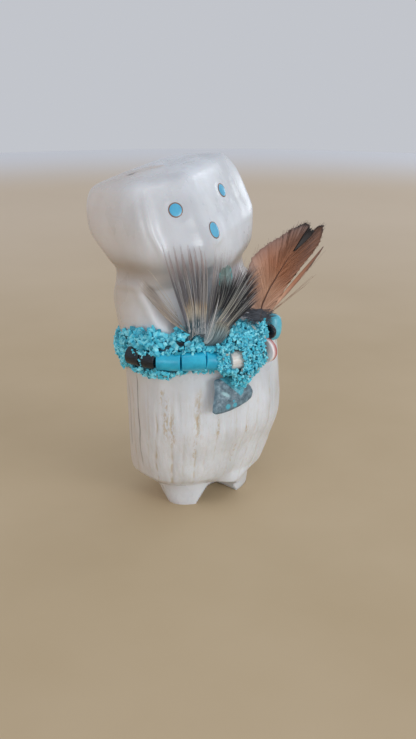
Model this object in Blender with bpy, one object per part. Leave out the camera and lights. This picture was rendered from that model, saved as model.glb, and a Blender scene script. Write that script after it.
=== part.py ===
"""Carved antler figure with inlaid eyes and mouth and a waist bundle of beads, chips, stone and feathers."""

import math
import random
from functools import lru_cache

import bmesh
import bpy
import numpy as np
from mathutils import Matrix, Vector

MM = 0.001

# Driving dimensions
FIGURE_HEIGHT = 68.5 * MM      # sole to the highest point of the crown
PART = FIGURE_HEIGHT / 68.5    # its sections and all its pieces are given in such parts

GAP = 0.3 * MM                 # clearance between pieces that touch
SEAT_GAP = 0.15 * MM           # and round an inlay in its drilled seat
BEAD_GAP = 0.2 * MM            # and between neighbours on the strand
SHELL_APART = 1.05 * MM        # the shell bead stands this far from the row
HEAP_APART = 0.45 * MM         # and the heap this far from the shell bead
OYSTER_APART = 0.85 * MM       # and from the oyster disc

EYE_DIAMETER = 2.8 * PART
MOUTH_DIAMETER = 3.3 * PART
INLAY_DEPTH = 1.2 * PART

BEAD_DIAMETER = 3.75 * PART
JET_LENGTH = 2.6 * PART
SHORT_JET_LENGTH = 2.3 * PART
TURQUOISE_LENGTH = 3.75 * PART
SHELL_LENGTH = 2.6 * PART
BEAD_BEVEL = 0.35 * PART

BAND_DEPTH = 0.9 * PART          # how far the crushed stone stands off the antler where it is alone
BEADED_BAND_DEPTH = 2.9 * PART   # and where it closes on the beads
MOUND_DEPTH = 2.0 * PART         # what the heap at the front adds to that
MOUND_FRONT = 5.2 * PART         # how far the heap itself stands off the antler
SINEW_DIAMETER = 0.5 * PART

ARROWHEAD_WIDTH = 9.4 * PART
ARROWHEAD_LENGTH = 8.0 * PART    # what hangs out under the beads
ARROWHEAD_THICKNESS = 1.4 * PART
ARROWHEAD_BEVEL = 0.45 * PART

OYSTER_DIAMETER = 4.8 * PART
OYSTER_THICKNESS = 1.3 * PART
JET_DISC_DIAMETER = 3.0 * PART
JET_DISC_THICKNESS = 1.0 * PART
NUGGET_LENGTH = 5.6 * PART
NUGGET_WIDTH = 3.7 * PART
NUGGET_THICKNESS = 3.2 * PART

FEATHER_THICKNESS = 0.45 * PART
BROWN_FEATHER_LENGTH = 25.2 * PART
BROWN_FEATHER_WIDTH = 9.9 * PART

NOTCH_WIDTH = 10.0 * PART        # between the feet, at the sole
NOTCH_TOP_WIDTH = 4.1 * PART
NOTCH_HEIGHT = 4.6 * PART
NOTCH_END = -1.6 * PART          # the groove runs in from the front to here
NOTCH_CENTRE = -0.6 * PART

# level, centre x, centre y, half width, front depth, back depth, squareness, front bow
SECTIONS = np.array([
    (0.0, 1.5, -1.4, 9.2, 4.4, 4.6, 2.8, 1.6),      # sole
    (4.5, 0.9, -0.2, 11.0, 6.0, 6.4, 3.0, 1.6),     # ankle
    (4.8, -0.1, 0.2, 11.3, 6.8, 7.6, 3.4, 1.6),     # hem
    (6.5, 0.4, -0.3, 13.7, 8.1, 9.1, 3.2, 2.0),
    (12.0, 0.5, -1.0, 15.0, 9.2, 10.0, 3.0, 2.4),
    (19.0, 0.6, -2.0, 15.9, 10.5, 11.1, 2.8, 2.6),  # skirt at its fullest
    (26.0, 0.7, -1.6, 16.0, 10.4, 11.2, 2.8, 2.8),
    (31.0, 0.6, -1.1, 16.2, 9.9, 11.1, 2.8, 2.8),
    (35.0, -0.1, -0.6, 15.6, 9.4, 11.0, 2.8, 2.8),  # waist
    (39.5, -1.0, 0.4, 15.2, 8.9, 10.9, 2.8, 2.8),
    (44.0, -1.7, 1.2, 14.7, 8.1, 10.6, 3.0, 3.0),   # chest
    (46.5, -1.9, 1.4, 15.1, 7.4, 9.8, 3.2, 3.6),    # shoulder
    (48.6, -1.9, 0.9, 16.0, 6.9, 9.2, 3.6, 4.4),    # jaw
    (54.0, -2.0, 0.5, 16.4, 5.7, 9.0, 5.0, 5.0),
    (59.0, -3.0, 2.0, 16.3, 5.5, 9.4, 7.0, 5.0),    # face
    (64.1, -3.9, 3.4, 15.3, 5.0, 8.8, 7.0, 4.7),
    (65.9, -4.3, 3.9, 14.3, 4.6, 8.3, 5.0, 4.4),    # edge of the crown
])
# share of the crown's edge section, rise over it
CROWN_RINGS = [(0.95, 0.55), (0.82, 0.95), (0.5, 1.25)]
CROWN_RISE = 1.35

# The head is turned and leans: from and to which level, and how far in degrees
TURN_FROM, TURN_TO, SKIRT_TURN, HEAD_TURN = 20.0, 54.0, -4.0, 12.0
LEAN_FROM, LEAN_TO, LEAN_RIGHT, LEAN_BACK = 30.0, 49.0, 7.0, 5.0

# The face is two flat cuts that meet in a soft ridge, as a share of the half width from the middle
RIDGE_FROM, RIDGE_TO, RIDGE_SHARE = 43.0, 51.0, 0.9
RIDGE_AT = -0.45
RIDGE_SOFTNESS = 0.06

NECK_LEVEL, NECK_DEPTH, NECK_ABOVE, NECK_BELOW = 48.9, 1.7, 2.2, 1.1
NECK_SHALLOW = 0.6             # the share by which it is shallower at the figure's front left

# The shawl's edges meet in a V at the waist: half widths low and high, and how deep the chest lies in it
SHAWL_LOW, SHAWL_HIGH = 36.5, 47.5
SHAWL_LOW_HALF, SHAWL_HIGH_HALF = 9.6, 15.4
SHAWL_DEPTH = 0.9

# The skirt's shallow hollows: angle round the section, half width in degrees and depth
SKIRT_HOLLOWS = [(170.0, 9.0, 0.35), (207.0, 8.0, 0.30), (240.0, 9.0, 0.25), (282.0, 11.0, 0.30),
                 (330.0, 13.0, 0.35), (20.0, 14.0, 0.30), (75.0, 16.0, 0.30), (125.0, 14.0, 0.30)]
SKIRT_LOW, SKIRT_HIGH = 6.0, 31.0

AROUND = 44                    # faces round the figure
RING_STEP = 1.75               # parts between its rings, half that round the neck
HEM_RINGS = (0.0, 4.5, 4.8, 5.4, 6.5)

# Where things sit: angle round the section in degrees, 270 is straight ahead, and a level in parts
STRAND_LEVEL = 33.75
SAG_FROM, SAG_TO, STRAND_SAG = 220.0, 248.0, 0.95   # it sinks a little at the front
RISE_FROM, RISE_TO, RISE_SHARE = 250.0, 266.0, 0.42  # and rises again by this share of the sag
STRAND_START, STRAND_END = 182.5, 296.0
RIGHT_EYE = (207.0, 61.4)
LEFT_EYE = (310.0, 61.2)
MOUTH = (234.0, 56.1)
HEAP_ANGLE, HEAP_SPREAD = 274.0, 18.0
BAND_START, UPPER_END, LOWER_END = 142.0, 291.0, 282.0
ARROWHEAD_ANGLE, ARROWHEAD_SPREAD = 252.0, 20.0
ARROWHEAD_TOP = 31.3            # the level it hangs from
OYSTER_PLACE = (286.3, 33.2, 2.7)
JET_DISC_PLACE = (298.4, 36.1, 2.5)
NUGGET_PLACE = (309.0, 36.3, 2.2)

# Feathers run from a quill to the ends of their barbs: angle, level and stand-off in parts
FAN_BASE = (225.0, 37.3, 3.4)
FAN_TIPS = [(186.0, 50.2, 1.2), (195.0, 53.4, 1.8), (200.0, 55.8, 1.9), (206.0, 56.4, 2.0),
            (213.0, 56.0, 2.0), (220.0, 54.6, 2.0), (229.0, 53.8, 2.0), (243.0, 52.6, 2.0),
            (262.0, 50.6, 2.0), (284.0, 48.8, 2.0), (304.0, 46.7, 2.0)]
FAN_SOLID = 0.6                # the share of its length over which the barbs close up
TEAL_BASE = (259.0, 38.9, 1.4)
TEAL_TIPS = [(236.0, 48.8, 0.9), (248.0, 49.4, 0.9), (268.0, 47.2, 0.9)]
TEAL_SOLID = 0.9
BROWN_BASE = (282.0, 37.4, 3.6)
BROWN_FACING = Vector((-0.12, -0.94, 0.30))
BROWN_AXIS_TILT = 48.8         # degrees from upright, towards the figure's left

# Outlines in shares of length and width, from the quill
BROWN_OUTLINE = [(0.0, -0.06), (0.07, -0.39), (0.20, -0.58), (0.34, -0.72), (0.45, -0.75), (0.56, -0.66),
                 (0.66, -0.55), (0.76, -0.47), (0.84, -0.35), (0.90, -0.21), (0.77, -0.18), (0.64, -0.155),
                 (0.80, -0.09), (1.0, 0.13), (0.87, 0.23), (0.73, 0.24), (0.60, 0.225), (0.86, 0.37),
                 (0.56, 0.335), (0.40, 0.20), (0.20, 0.18), (0.0, 0.06)]
ARROWHEAD_OUTLINE = [(-0.51, 0.28), (-0.49, 0.03), (-0.60, -0.21), (-0.63, -0.38), (-0.56, -0.45),
                     (-0.36, -0.47), (-0.13, -0.40), (0.14, -0.28), (0.31, -0.14), (0.36, -0.03),
                     (0.30, 0.16), (0.24, 0.24), (0.30, 0.31), (-0.08, 0.32)]

COLOURS = {
    "antler": (0.71, 0.66, 0.58, 0.32),
    "turquoise": (0.10, 0.52, 0.66, 0.35),
    "turquoise_chips": (0.16, 0.58, 0.68, 0.55),
    "jet": (0.012, 0.013, 0.016, 0.3),
    "shell": (0.84, 0.74, 0.62, 0.4),
    "oyster": (0.78, 0.45, 0.40, 0.35),
    "slate": (0.11, 0.16, 0.19, 0.45),
    "sinew": (0.03, 0.035, 0.045, 0.6),
    "speckled_vane": (0.20, 0.18, 0.18, 0.8),
    "teal_vane": (0.12, 0.30, 0.29, 0.5),
    "brown_vane": (0.30, 0.15, 0.09, 0.7),
}


def smooth(start, end, value):
    """Goes from 0 at start to 1 at end with level ends."""
    t = min(max((value - start) / (end - start), 0.0), 1.0)
    return t * t * (3.0 - 2.0 * t)


def bell(angle, centre, spread):
    """A soft bump round an angle in degrees, 1 at its centre."""
    away = (angle - centre + 180.0) % 360.0 - 180.0
    return math.exp(-(away / spread) ** 2)


@lru_cache(maxsize=None)
def section_at(level):
    """The section table at any level, by a cubic that never overshoots its rows."""
    levels = SECTIONS[:, 0]
    row = int(np.clip(np.searchsorted(levels, level) - 1, 0, len(levels) - 2))
    step = levels[row + 1] - levels[row]
    t = (level - levels[row]) / step
    rise = np.diff(SECTIONS[:, 1:], axis=0) / np.diff(levels)[:, None]

    def slope(index):
        if index == 0 or index == len(levels) - 1:
            return rise[0 if index == 0 else -1]
        below, above = rise[index - 1], rise[index]
        both = below * above
        return np.where(both > 0.0, 2.0 * both / np.where(both > 0.0, below + above, 1.0), 0.0)

    low, high = SECTIONS[row, 1:], SECTIONS[row + 1, 1:]
    return tuple(low * (2 * t ** 3 - 3 * t ** 2 + 1) + slope(row) * step * (t ** 3 - 2 * t ** 2 + t)
                 + high * (3 * t ** 2 - 2 * t ** 3) + slope(row + 1) * step * (t ** 3 - t ** 2))


def front_bow(across, ridge):
    """How much of the bow is left at a share of the half width: a round front, or a ridge of two flats."""
    side = (across - RIDGE_AT) / (1.0 - RIDGE_AT if across > RIDGE_AT else -1.0 - RIDGE_AT)
    edge = math.hypot(1.0, RIDGE_SOFTNESS) - RIDGE_SOFTNESS
    flats = 1.0 - (math.hypot(side, RIDGE_SOFTNESS) - RIDGE_SOFTNESS) / edge
    return (1.0 - ridge) * (1.0 - across ** 2) + ridge * flats


def shawl_recess(x, level):
    """How deep the chest lies between the shawl's edges, with a low roll along each edge."""
    share = (level - SHAWL_LOW) / (SHAWL_HIGH - SHAWL_LOW)
    half = SHAWL_LOW_HALF + (SHAWL_HIGH_HALF - SHAWL_LOW_HALF) * share
    fade = smooth(SHAWL_LOW - 1.0, SHAWL_LOW + 2.0, level)
    fade *= 1.0 - smooth(SHAWL_HIGH, SHAWL_HIGH + 3.0, level)
    inside = half - abs(x)
    roll = 0.35 * math.exp(-((inside + 1.8) / 1.6) ** 2)
    return (SHAWL_DEPTH * smooth(-0.9, 0.9, inside) - roll) * fade


def skirt_recess(angle, level):
    fade = smooth(SKIRT_LOW - 2.0, SKIRT_LOW + 3.0, level)
    fade *= 1.0 - smooth(SKIRT_HIGH - 4.0, SKIRT_HIGH, level)
    return fade * sum(depth * bell(angle, centre, half) for centre, half, depth in SKIRT_HOLLOWS)


def figure_point(angle, level, share=1.0, rise=0.0, carved=False):
    """A point of the figure's surface in parts, at an angle round the section on that level."""
    centre_x, centre_y, half, front, rear, squareness, bow = section_at(level)
    c, s = math.cos(math.radians(angle)), math.sin(math.radians(angle))
    depth = front if s < 0.0 else rear
    reach = (abs(c / half) ** squareness + abs(s / depth) ** squareness) ** (-1.0 / squareness)
    x, y = reach * c, reach * s
    ridge = RIDGE_SHARE * smooth(RIDGE_FROM, RIDGE_TO, level)
    if s < 0.0:
        y -= bow * front_bow(x / half, ridge) * min(-y / depth, 1.0)
    if carved:
        inward = skirt_recess(angle, level)
        inward += shawl_recess(x, level) * smooth(0.05, 0.4, -s)
        length = math.hypot(x, y)
        x, y = x * (1.0 - inward / length), y * (1.0 - inward / length)
    x, y = x * share, y * share
    turn = math.radians(SKIRT_TURN + (HEAD_TURN - SKIRT_TURN) * smooth(TURN_FROM, TURN_TO, level))
    x, y = x * math.cos(turn) - y * math.sin(turn), x * math.sin(turn) + y * math.cos(turn)
    lean = smooth(LEAN_FROM, LEAN_TO, level)
    right, back = math.radians(LEAN_RIGHT * lean), math.radians(LEAN_BACK * lean)
    z = level + rise + x * math.tan(right) - y * math.tan(back)
    if carved and rise == 0.0:
        away = (z - NECK_LEVEL) / (NECK_ABOVE if z > NECK_LEVEL else NECK_BELOW)
        deep = NECK_DEPTH * (1.0 - NECK_SHALLOW * bell(angle, 318.0, 45.0))
        pinch = 1.0 - deep * math.exp(-away ** 2) / math.hypot(x, y)
        x, y = x * pinch, y * pinch
    return np.array([centre_x + x, centre_y + y, z])


def figure_normal(angle, level):
    """The outward direction of the figure's surface."""
    along = figure_point(angle + 1.0, level) - figure_point(angle - 1.0, level)
    up = figure_point(angle, level + 0.3) - figure_point(angle, level - 0.3)
    normal = np.cross(along, up)
    return Vector(normal / np.linalg.norm(normal))


def on_figure(angle, level, clear=0.0):
    """A point in metres that stands clear of the figure's surface by so many metres."""
    return Vector(figure_point(angle, level)) * PART + figure_normal(angle, level) * clear


def at_height(angle, height, clear=0.0):
    """The same for a point at a true height, in parts, so that things tied round the waist lie level."""
    level = height
    for _ in range(6):
        level += height - on_figure(angle, level, clear).z / PART
    return on_figure(angle, level, clear)


def strand_sag(angle):
    """How far the strand lies under its level at an angle, in parts."""
    risen = RISE_SHARE * smooth(RISE_FROM, RISE_TO, angle)
    return STRAND_SAG * smooth(SAG_FROM, SAG_TO, angle) * (1.0 - risen)


def over_arrowhead(angle):
    """1 over the arrowhead, 0 away from it."""
    return min(4.0 * bell(angle, ARROWHEAD_ANGLE - 2.0, ARROWHEAD_SPREAD), 1.0)


def material(name):
    found = bpy.data.materials.get(name)
    if found:
        return found
    made = bpy.data.materials.new(name)
    made.use_nodes = True
    shader = made.node_tree.nodes["Principled BSDF"]
    red, green, blue, roughness = COLOURS[name]
    shader.inputs["Base Color"].default_value = (red, green, blue, 1.0)
    shader.inputs["Roughness"].default_value = roughness
    shader.inputs["Metallic"].default_value = 0.0
    made.diffuse_color = (red, green, blue, 1.0)
    return made


def add_object(name, data, collection, material_name=None):
    obj = bpy.data.objects.new(name, data)
    collection.objects.link(obj)
    if material_name:
        data.materials.append(material(material_name))
    return obj


def mesh_from(bm, name):
    bmesh.ops.recalc_face_normals(bm, faces=bm.faces)
    mesh = bpy.data.meshes.new(name)
    bm.to_mesh(mesh)
    bm.free()
    mesh.shade_smooth()
    mesh.set_sharp_from_angle(angle=math.radians(40.0))
    return mesh


def skin(bm, rings, closed=False):
    """Joins rings of equally many vertices with faces, and round to the first ring if closed."""
    pairs = list(zip(rings, rings[1:])) + ([(rings[-1], rings[0])] if closed else [])
    for low, high in pairs:
        for i in range(len(low)):
            j = (i + 1) % len(low)
            bm.faces.new((low[i], low[j], high[j], high[i]))


def facing(normal, up_hint=Vector((0.0, 0.0, 1.0)), roll=0.0):
    """A rotation with local Z along the normal and local Y upright, rolled in degrees about the normal."""
    z = normal.normalized()
    x = up_hint.cross(z).normalized()
    y = z.cross(x)
    turned = Matrix((x, y, z)).transposed()
    return turned @ Matrix.Rotation(math.radians(roll), 3, "Z")


def place(obj, point, rotation):
    obj.matrix_world = Matrix.Translation(point) @ rotation.to_4x4()


def ring_levels():
    """The levels of the figure's rings: closer together at the hem and round the neck."""
    levels = list(HEM_RINGS)
    while levels[-1] < SECTIONS[-1, 0]:
        near_neck = NECK_LEVEL - 5.0 < levels[-1] < NECK_LEVEL + 4.0
        levels.append(levels[-1] + RING_STEP * (0.5 if near_neck else 1.0))
    levels[-1] = SECTIONS[-1, 0]
    return levels


def build_figure(parts):
    bm = bmesh.new()
    angles = [360.0 * i / AROUND for i in range(AROUND)]
    rings = []
    for level in ring_levels():
        rings.append([bm.verts.new(figure_point(a, level, carved=True) * PART) for a in angles])
    edge = SECTIONS[-1, 0]
    for share, rise in CROWN_RINGS:
        rings.append([bm.verts.new(figure_point(a, edge, share, rise) * PART) for a in angles])
    skin(bm, rings)
    bm.faces.new(rings[0])
    crown = bm.verts.new(figure_point(0.0, edge, 0.0, CROWN_RISE) * PART)
    for i in range(AROUND):
        bm.faces.new((rings[-1][i], rings[-1][(i + 1) % AROUND], crown))
    return add_object("antler_figure", mesh_from(bm, "antler_figure"), parts, "antler")


def cut(target, cutter):
    boolean = target.modifiers.new(cutter.name, "BOOLEAN")
    boolean.operation = "DIFFERENCE"
    boolean.solver = "EXACT"
    boolean.object = cutter
    cutter.hide_render = True
    cutter.display_type = "WIRE"


def disc(name, diameter, depth, sides, collection, material_name=None, bevel=0.0):
    bm = bmesh.new()
    bmesh.ops.create_cone(bm, cap_ends=True, segments=sides, radius1=diameter / 2, radius2=diameter / 2,
                          depth=depth)
    if bevel:
        rims = [e for e in bm.edges if len(e.link_faces) == 2 and any(len(f.verts) > 4 for f in e.link_faces)]
        bmesh.ops.bevel(bm, geom=rims, offset=bevel, segments=1, affect="EDGES")
    return add_object(name, mesh_from(bm, name), collection, material_name)


def build_inlay(name, spot, diameter, figure, parts, cutters):
    """A stone disc set flush into a drilled seat."""
    angle, level = spot
    point, normal = on_figure(angle, level), figure_normal(angle, level)
    turned = facing(normal)
    inlay = disc(name, diameter, INLAY_DEPTH, 18, parts, "turquoise")
    place(inlay, point - normal * (INLAY_DEPTH / 2), turned)
    seat_depth = INLAY_DEPTH + SEAT_GAP
    seat = disc(name + "_seat", diameter + 2 * SEAT_GAP, 2 * seat_depth, 18, cutters)
    place(seat, point, turned)
    cut(figure, seat)


def build_notch(figure, cutters):
    """The groove that parts the feet, narrower at the top and rounded there."""
    half, top = NOTCH_WIDTH / 2, NOTCH_TOP_WIDTH / 2
    corner = 0.22 * NOTCH_HEIGHT
    below = 1.0 * PART
    spread = half + (half - top) * below / NOTCH_HEIGHT
    outline = [(-spread, -below), (-top, NOTCH_HEIGHT - corner), (-0.7 * top, NOTCH_HEIGHT - 0.2 * corner),
               (0.0, NOTCH_HEIGHT), (0.7 * top, NOTCH_HEIGHT - 0.2 * corner), (top, NOTCH_HEIGHT - corner),
               (spread, -below)]
    bm = bmesh.new()
    front = -(SECTIONS[:, 4].max() + SECTIONS[:, 7].max()) * PART * 1.5
    rings = [[bm.verts.new((NOTCH_CENTRE + x, y, z)) for x, z in outline] for y in (front, NOTCH_END)]
    skin(bm, rings)
    bm.faces.new(rings[0])
    bm.faces.new(rings[1])
    cut(figure, add_object("foot_notch", mesh_from(bm, "foot_notch"), cutters))


class Strand:
    """The line through the beads, measured by its length from the first bead's end."""

    SAMPLES = 360

    def __init__(self):
        self.angles = np.linspace(STRAND_START, STRAND_END, self.SAMPLES)
        clear = GAP + BEAD_DIAMETER / 2
        self.points = [at_height(a, STRAND_LEVEL - strand_sag(a), clear) for a in self.angles]
        steps = [(b - a).length for a, b in zip(self.points, self.points[1:])]
        self.run = np.concatenate([[0.0], np.cumsum(steps)])

    def at(self, run):
        return Vector([float(np.interp(run, self.run, [p[i] for p in self.points])) for i in range(3)])

    def run_at(self, angle):
        return float(np.interp(angle, self.angles, self.run))

    def angle_at(self, run):
        return float(np.interp(run, self.run, self.angles))

    def direction(self, start, length):
        return (self.at(start + length) - self.at(start)).normalized()

    def spacing(self, end, length, next_length):
        """The gap before the next bead, opened where the strand bends so that the inner edges clear."""
        bend = self.direction(end - length, length).angle(self.direction(end + BEAD_GAP, next_length))
        return BEAD_GAP + (BEAD_DIAMETER / 2 - BEAD_BEVEL / 2) * bend


def build_strand(strand, parts):
    """The beads follow one another along the waist and a shell bead stands apart. Returns where it ends."""

    def add(name, kind, start, length):
        bead = disc(name, BEAD_DIAMETER, length, 16, parts, kind, BEAD_BEVEL)
        middle = (strand.at(start) + strand.at(start + length)) / 2
        place(bead, middle, facing(strand.direction(start, length)))

    row = [("jet_bead_01", "jet", JET_LENGTH), ("jet_bead_02", "jet", SHORT_JET_LENGTH)]
    row += [(f"turquoise_bead_{i:02d}", "turquoise", TURQUOISE_LENGTH) for i in (1, 2, 3)]
    end = last = 0.0
    for name, kind, length in row:
        start = end + (strand.spacing(end, last, length) if last else 0.0)
        add(name, kind, start, length)
        end, last = start + length, length
    add("shell_bead", "shell", end + SHELL_APART, SHELL_LENGTH)
    return end + SHELL_APART + SHELL_LENGTH


def band_edge(angle):
    """Where the crushed stone starts above and below the strand: clear of the beads and the oyster disc."""
    beyond = smooth(OYSTER_PLACE[0] - 15.0, OYSTER_PLACE[0] - 6.0, angle)
    beads = (BEAD_DIAMETER + (OYSTER_DIAMETER - BEAD_DIAMETER) * beyond) / 2 + GAP
    return beads + (GAP / 2 - beads) * (1.0 - smooth(STRAND_START - 8.0, STRAND_START - 3.0, angle))


def upper_top(angle):
    """The band's upper edge over the strand's level: highest behind the heap."""
    side = 1.6 * (1.0 - smooth(172.0, 192.0, angle))
    heap = 2.3 * bell(angle, HEAP_ANGLE, HEAP_SPREAD)
    return (4.7 - side + heap - 1.2 * smooth(286.0, 296.0, angle)) * PART


def lower_foot(angle):
    """The band's lower edge under the strand's level: it runs down over the arrowhead."""
    side = 1.5 * bell(angle, 199.0, 13.0) - 0.3 * (1.0 - smooth(172.0, 185.0, angle))
    return (3.5 + side + 3.4 * bell(angle, ARROWHEAD_ANGLE + 4.0, 14.0)) * PART


def chip_band(name, direction, end, edge, parts, seed):
    """A band of crushed stone above or below the beads, lumpy on its outer side and closed at both ends."""
    draw = random.Random(seed)
    stations = 60
    bm = bmesh.new()
    rings = []
    for i in range(stations):
        angle = BAND_START + (end - BAND_START) * i / (stations - 1)
        taper = 0.45 + 0.55 * min(1.0, i / 3.0, (stations - 1 - i) / 3.0)
        beaded = smooth(STRAND_START - 6.0, STRAND_START + 2.0, angle) * (1.0 - smooth(280.0, 290.0, angle))
        start = band_edge(angle)
        sag = strand_sag(angle)
        tall = (edge(angle) + direction * sag * PART - start) * draw.uniform(0.88, 1.08) * taper
        lift = over_arrowhead(angle) if direction < 0 else 0.0
        inner = 1.4 * GAP + (ARROWHEAD_THICKNESS + 2.5 * GAP) * lift
        depth = BAND_DEPTH + (BEADED_BAND_DEPTH - BAND_DEPTH) * beaded
        depth = (depth + MOUND_DEPTH * bell(angle, HEAP_ANGLE, HEAP_SPREAD)) * (1.0 - 0.5 * lift)
        outer = inner + max(depth * draw.uniform(0.9, 1.05) * taper, 0.7 * PART)
        profile = [(inner, 0.0), (outer, 0.0), (inner + 0.8 * (outer - inner), 0.35 * tall),
                   (inner + 0.35 * (outer - inner), 0.85 * tall), (inner, tall)]
        level = STRAND_LEVEL - sag
        rings.append([bm.verts.new(at_height(angle, level + direction * (start + rise) / PART, clear))
                      for clear, rise in profile])
    skin(bm, rings)
    bm.faces.new(rings[0])
    bm.faces.new(rings[-1])
    return add_object(name, mesh_from(bm, name), parts, "turquoise_chips")


def chip_heap(strand, shell_end, parts):
    """The heap that buries the strand between the shell bead and the oyster disc."""
    first = strand.angle_at(shell_end + HEAP_APART)
    last = strand.angle_at(strand.run_at(OYSTER_PLACE[0]) - OYSTER_THICKNESS / 2 - OYSTER_APART)
    draw = random.Random(11)
    stations = 12
    half = BEAD_DIAMETER / 2
    bm = bmesh.new()
    rings = []
    for i in range(stations):
        angle = first + (last - first) * i / (stations - 1)
        taper = 0.75 + 0.25 * min(1.0, i / 2.0, (stations - 1 - i) / 2.0)
        inner, outer = GAP, MOUND_FRONT * taper
        profile = [(inner, -half)]
        profile += [(outer * share * draw.uniform(0.94, 1.05), rise * half)
                    for share, rise in ((0.8, -1.0), (1.0, -0.45), (1.0, 0.45), (0.88, 1.0))]
        profile += [(inner, half)]
        rings.append([bm.verts.new(at_height(angle, STRAND_LEVEL - strand_sag(angle) + rise / PART, clear))
                      for clear, rise in profile])
    skin(bm, rings)
    bm.faces.new(rings[0])
    bm.faces.new(rings[-1])
    add_object("chip_heap", mesh_from(bm, "chip_heap"), parts, "turquoise_chips")


def flat_piece(name, outline, thickness, parts, material_name, bevel=0.0):
    """A flat outline as a filled curve, extruded to its thickness."""
    curve = bpy.data.curves.new(name, "CURVE")
    curve.dimensions = "2D"
    curve.fill_mode = "BOTH"
    curve.extrude = thickness / 2 - bevel
    curve.bevel_depth = bevel
    curve.bevel_resolution = 0
    spline = curve.splines.new("POLY")
    spline.points.add(len(outline) - 1)
    for point, (x, y) in zip(spline.points, outline):
        point.co = (x, y, 0.0, 1.0)
    spline.use_cyclic_u = True
    return add_object(name, curve, parts, material_name)


def build_arrowhead(parts):
    """A knapped point that hangs tip up, its blade under the strand."""
    outline = [(x * ARROWHEAD_WIDTH, y * ARROWHEAD_LENGTH) for x, y in ARROWHEAD_OUTLINE]
    arrowhead = flat_piece("arrowhead", outline, ARROWHEAD_THICKNESS, parts, "slate", ARROWHEAD_BEVEL)
    level = ARROWHEAD_TOP - ARROWHEAD_LENGTH / 2 / PART
    normal = (figure_normal(ARROWHEAD_ANGLE, level) + Vector((0.0, 0.0, 0.08))).normalized()
    stand = GAP + ARROWHEAD_THICKNESS / 2 + 0.1 * MM
    place(arrowhead, on_figure(ARROWHEAD_ANGLE, level, stand), facing(normal))


def build_sinew(parts):
    """The dark sinew that ties the quills, along the upper edge of the crushed stone at the front."""
    curve = bpy.data.curves.new("sinew_cord", "CURVE")
    curve.dimensions = "3D"
    curve.bevel_depth = SINEW_DIAMETER / 2
    curve.bevel_resolution = 2
    curve.use_fill_caps = True
    spline = curve.splines.new("POLY")
    count = 12
    spline.points.add(count - 1)
    for i, point in enumerate(spline.points):
        angle = 206.0 + 32.0 * i / (count - 1)
        clear = GAP + BEADED_BAND_DEPTH + SINEW_DIAMETER / 2
        point.co = (*at_height(angle, STRAND_LEVEL + 3.4, clear), 1.0)
    add_object("sinew_cord", curve, parts, "sinew")


def build_barbs(name, base, tips, solid, rows, parts, material_name):
    """A thin blade that opens from its quill along the figure and ends in separate tufts of barbs."""
    base_angle, base_level, base_stand = base
    quill = 0.5 / math.radians(section_at(base_level)[2])
    bm = bmesh.new()

    def pair(run, across, tip):
        angle = base_angle + quill * across + (tip[0] - base_angle - quill * across) * run
        level = base_level + (tip[1] - base_level) * run
        stand = base_stand + (tip[2] - base_stand) * run
        half = FEATHER_THICKNESS / 2 * (1.0 - 0.5 * run)
        return tuple(bm.verts.new(on_figure(angle, level, stand * PART + side * half)) for side in (1, -1))

    def between(share):
        """The barb tip at a share of the way across, read between the listed ones."""
        at = share * (len(tips) - 1)
        low = min(int(at), len(tips) - 2)
        return [a + (b - a) * (at - low) for a, b in zip(tips[low], tips[low + 1])]

    tufts = len(tips)
    shares = [(i + side) / tufts for i in range(tufts) for side in (0.06, 0.94)]
    rings = []
    for row in range(rows + 1):
        pairs = [pair(solid * row / rows, share - 0.5, between(share)) for share in shares]
        rings.append([front for front, back in pairs] + [back for front, back in reversed(pairs)])
    skin(bm, rings)
    bm.faces.new(rings[0])
    last, count = rings[-1], len(shares)
    for i in range(count - 1):
        left, right = (last[i], last[-1 - i]), (last[i + 1], last[-2 - i])
        if i % 2:
            bm.faces.new((left[0], right[0], right[1], left[1]))
            continue
        front, back = pair(1.0, (i // 2) / (tufts - 1) - 0.5, tips[i // 2])
        bm.faces.new((left[0], right[0], front))
        bm.faces.new((left[1], right[1], back))
        bm.faces.new((left[0], left[1], back, front))
        bm.faces.new((right[0], right[1], back, front))
    add_object(name, mesh_from(bm, name), parts, material_name)


def build_feathers(parts):
    build_barbs("speckled_feather", FAN_BASE, FAN_TIPS, FAN_SOLID, 4, parts, "speckled_vane")
    build_barbs("teal_feather", TEAL_BASE, TEAL_TIPS, TEAL_SOLID, 4, parts, "teal_vane")
    points = [(across * BROWN_FEATHER_WIDTH, along * BROWN_FEATHER_LENGTH) for along, across in BROWN_OUTLINE]
    brown = flat_piece("brown_feather", points, FEATHER_THICKNESS, parts, "brown_vane")
    angle, level, stand = BROWN_BASE
    place(brown, on_figure(angle, level, stand * PART), facing(BROWN_FACING, roll=-BROWN_AXIS_TILT))


def along_waist(angle, height):
    """The direction of the strand at an angle."""
    return (at_height(angle + 2.0, height) - at_height(angle - 2.0, height)).normalized()


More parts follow.
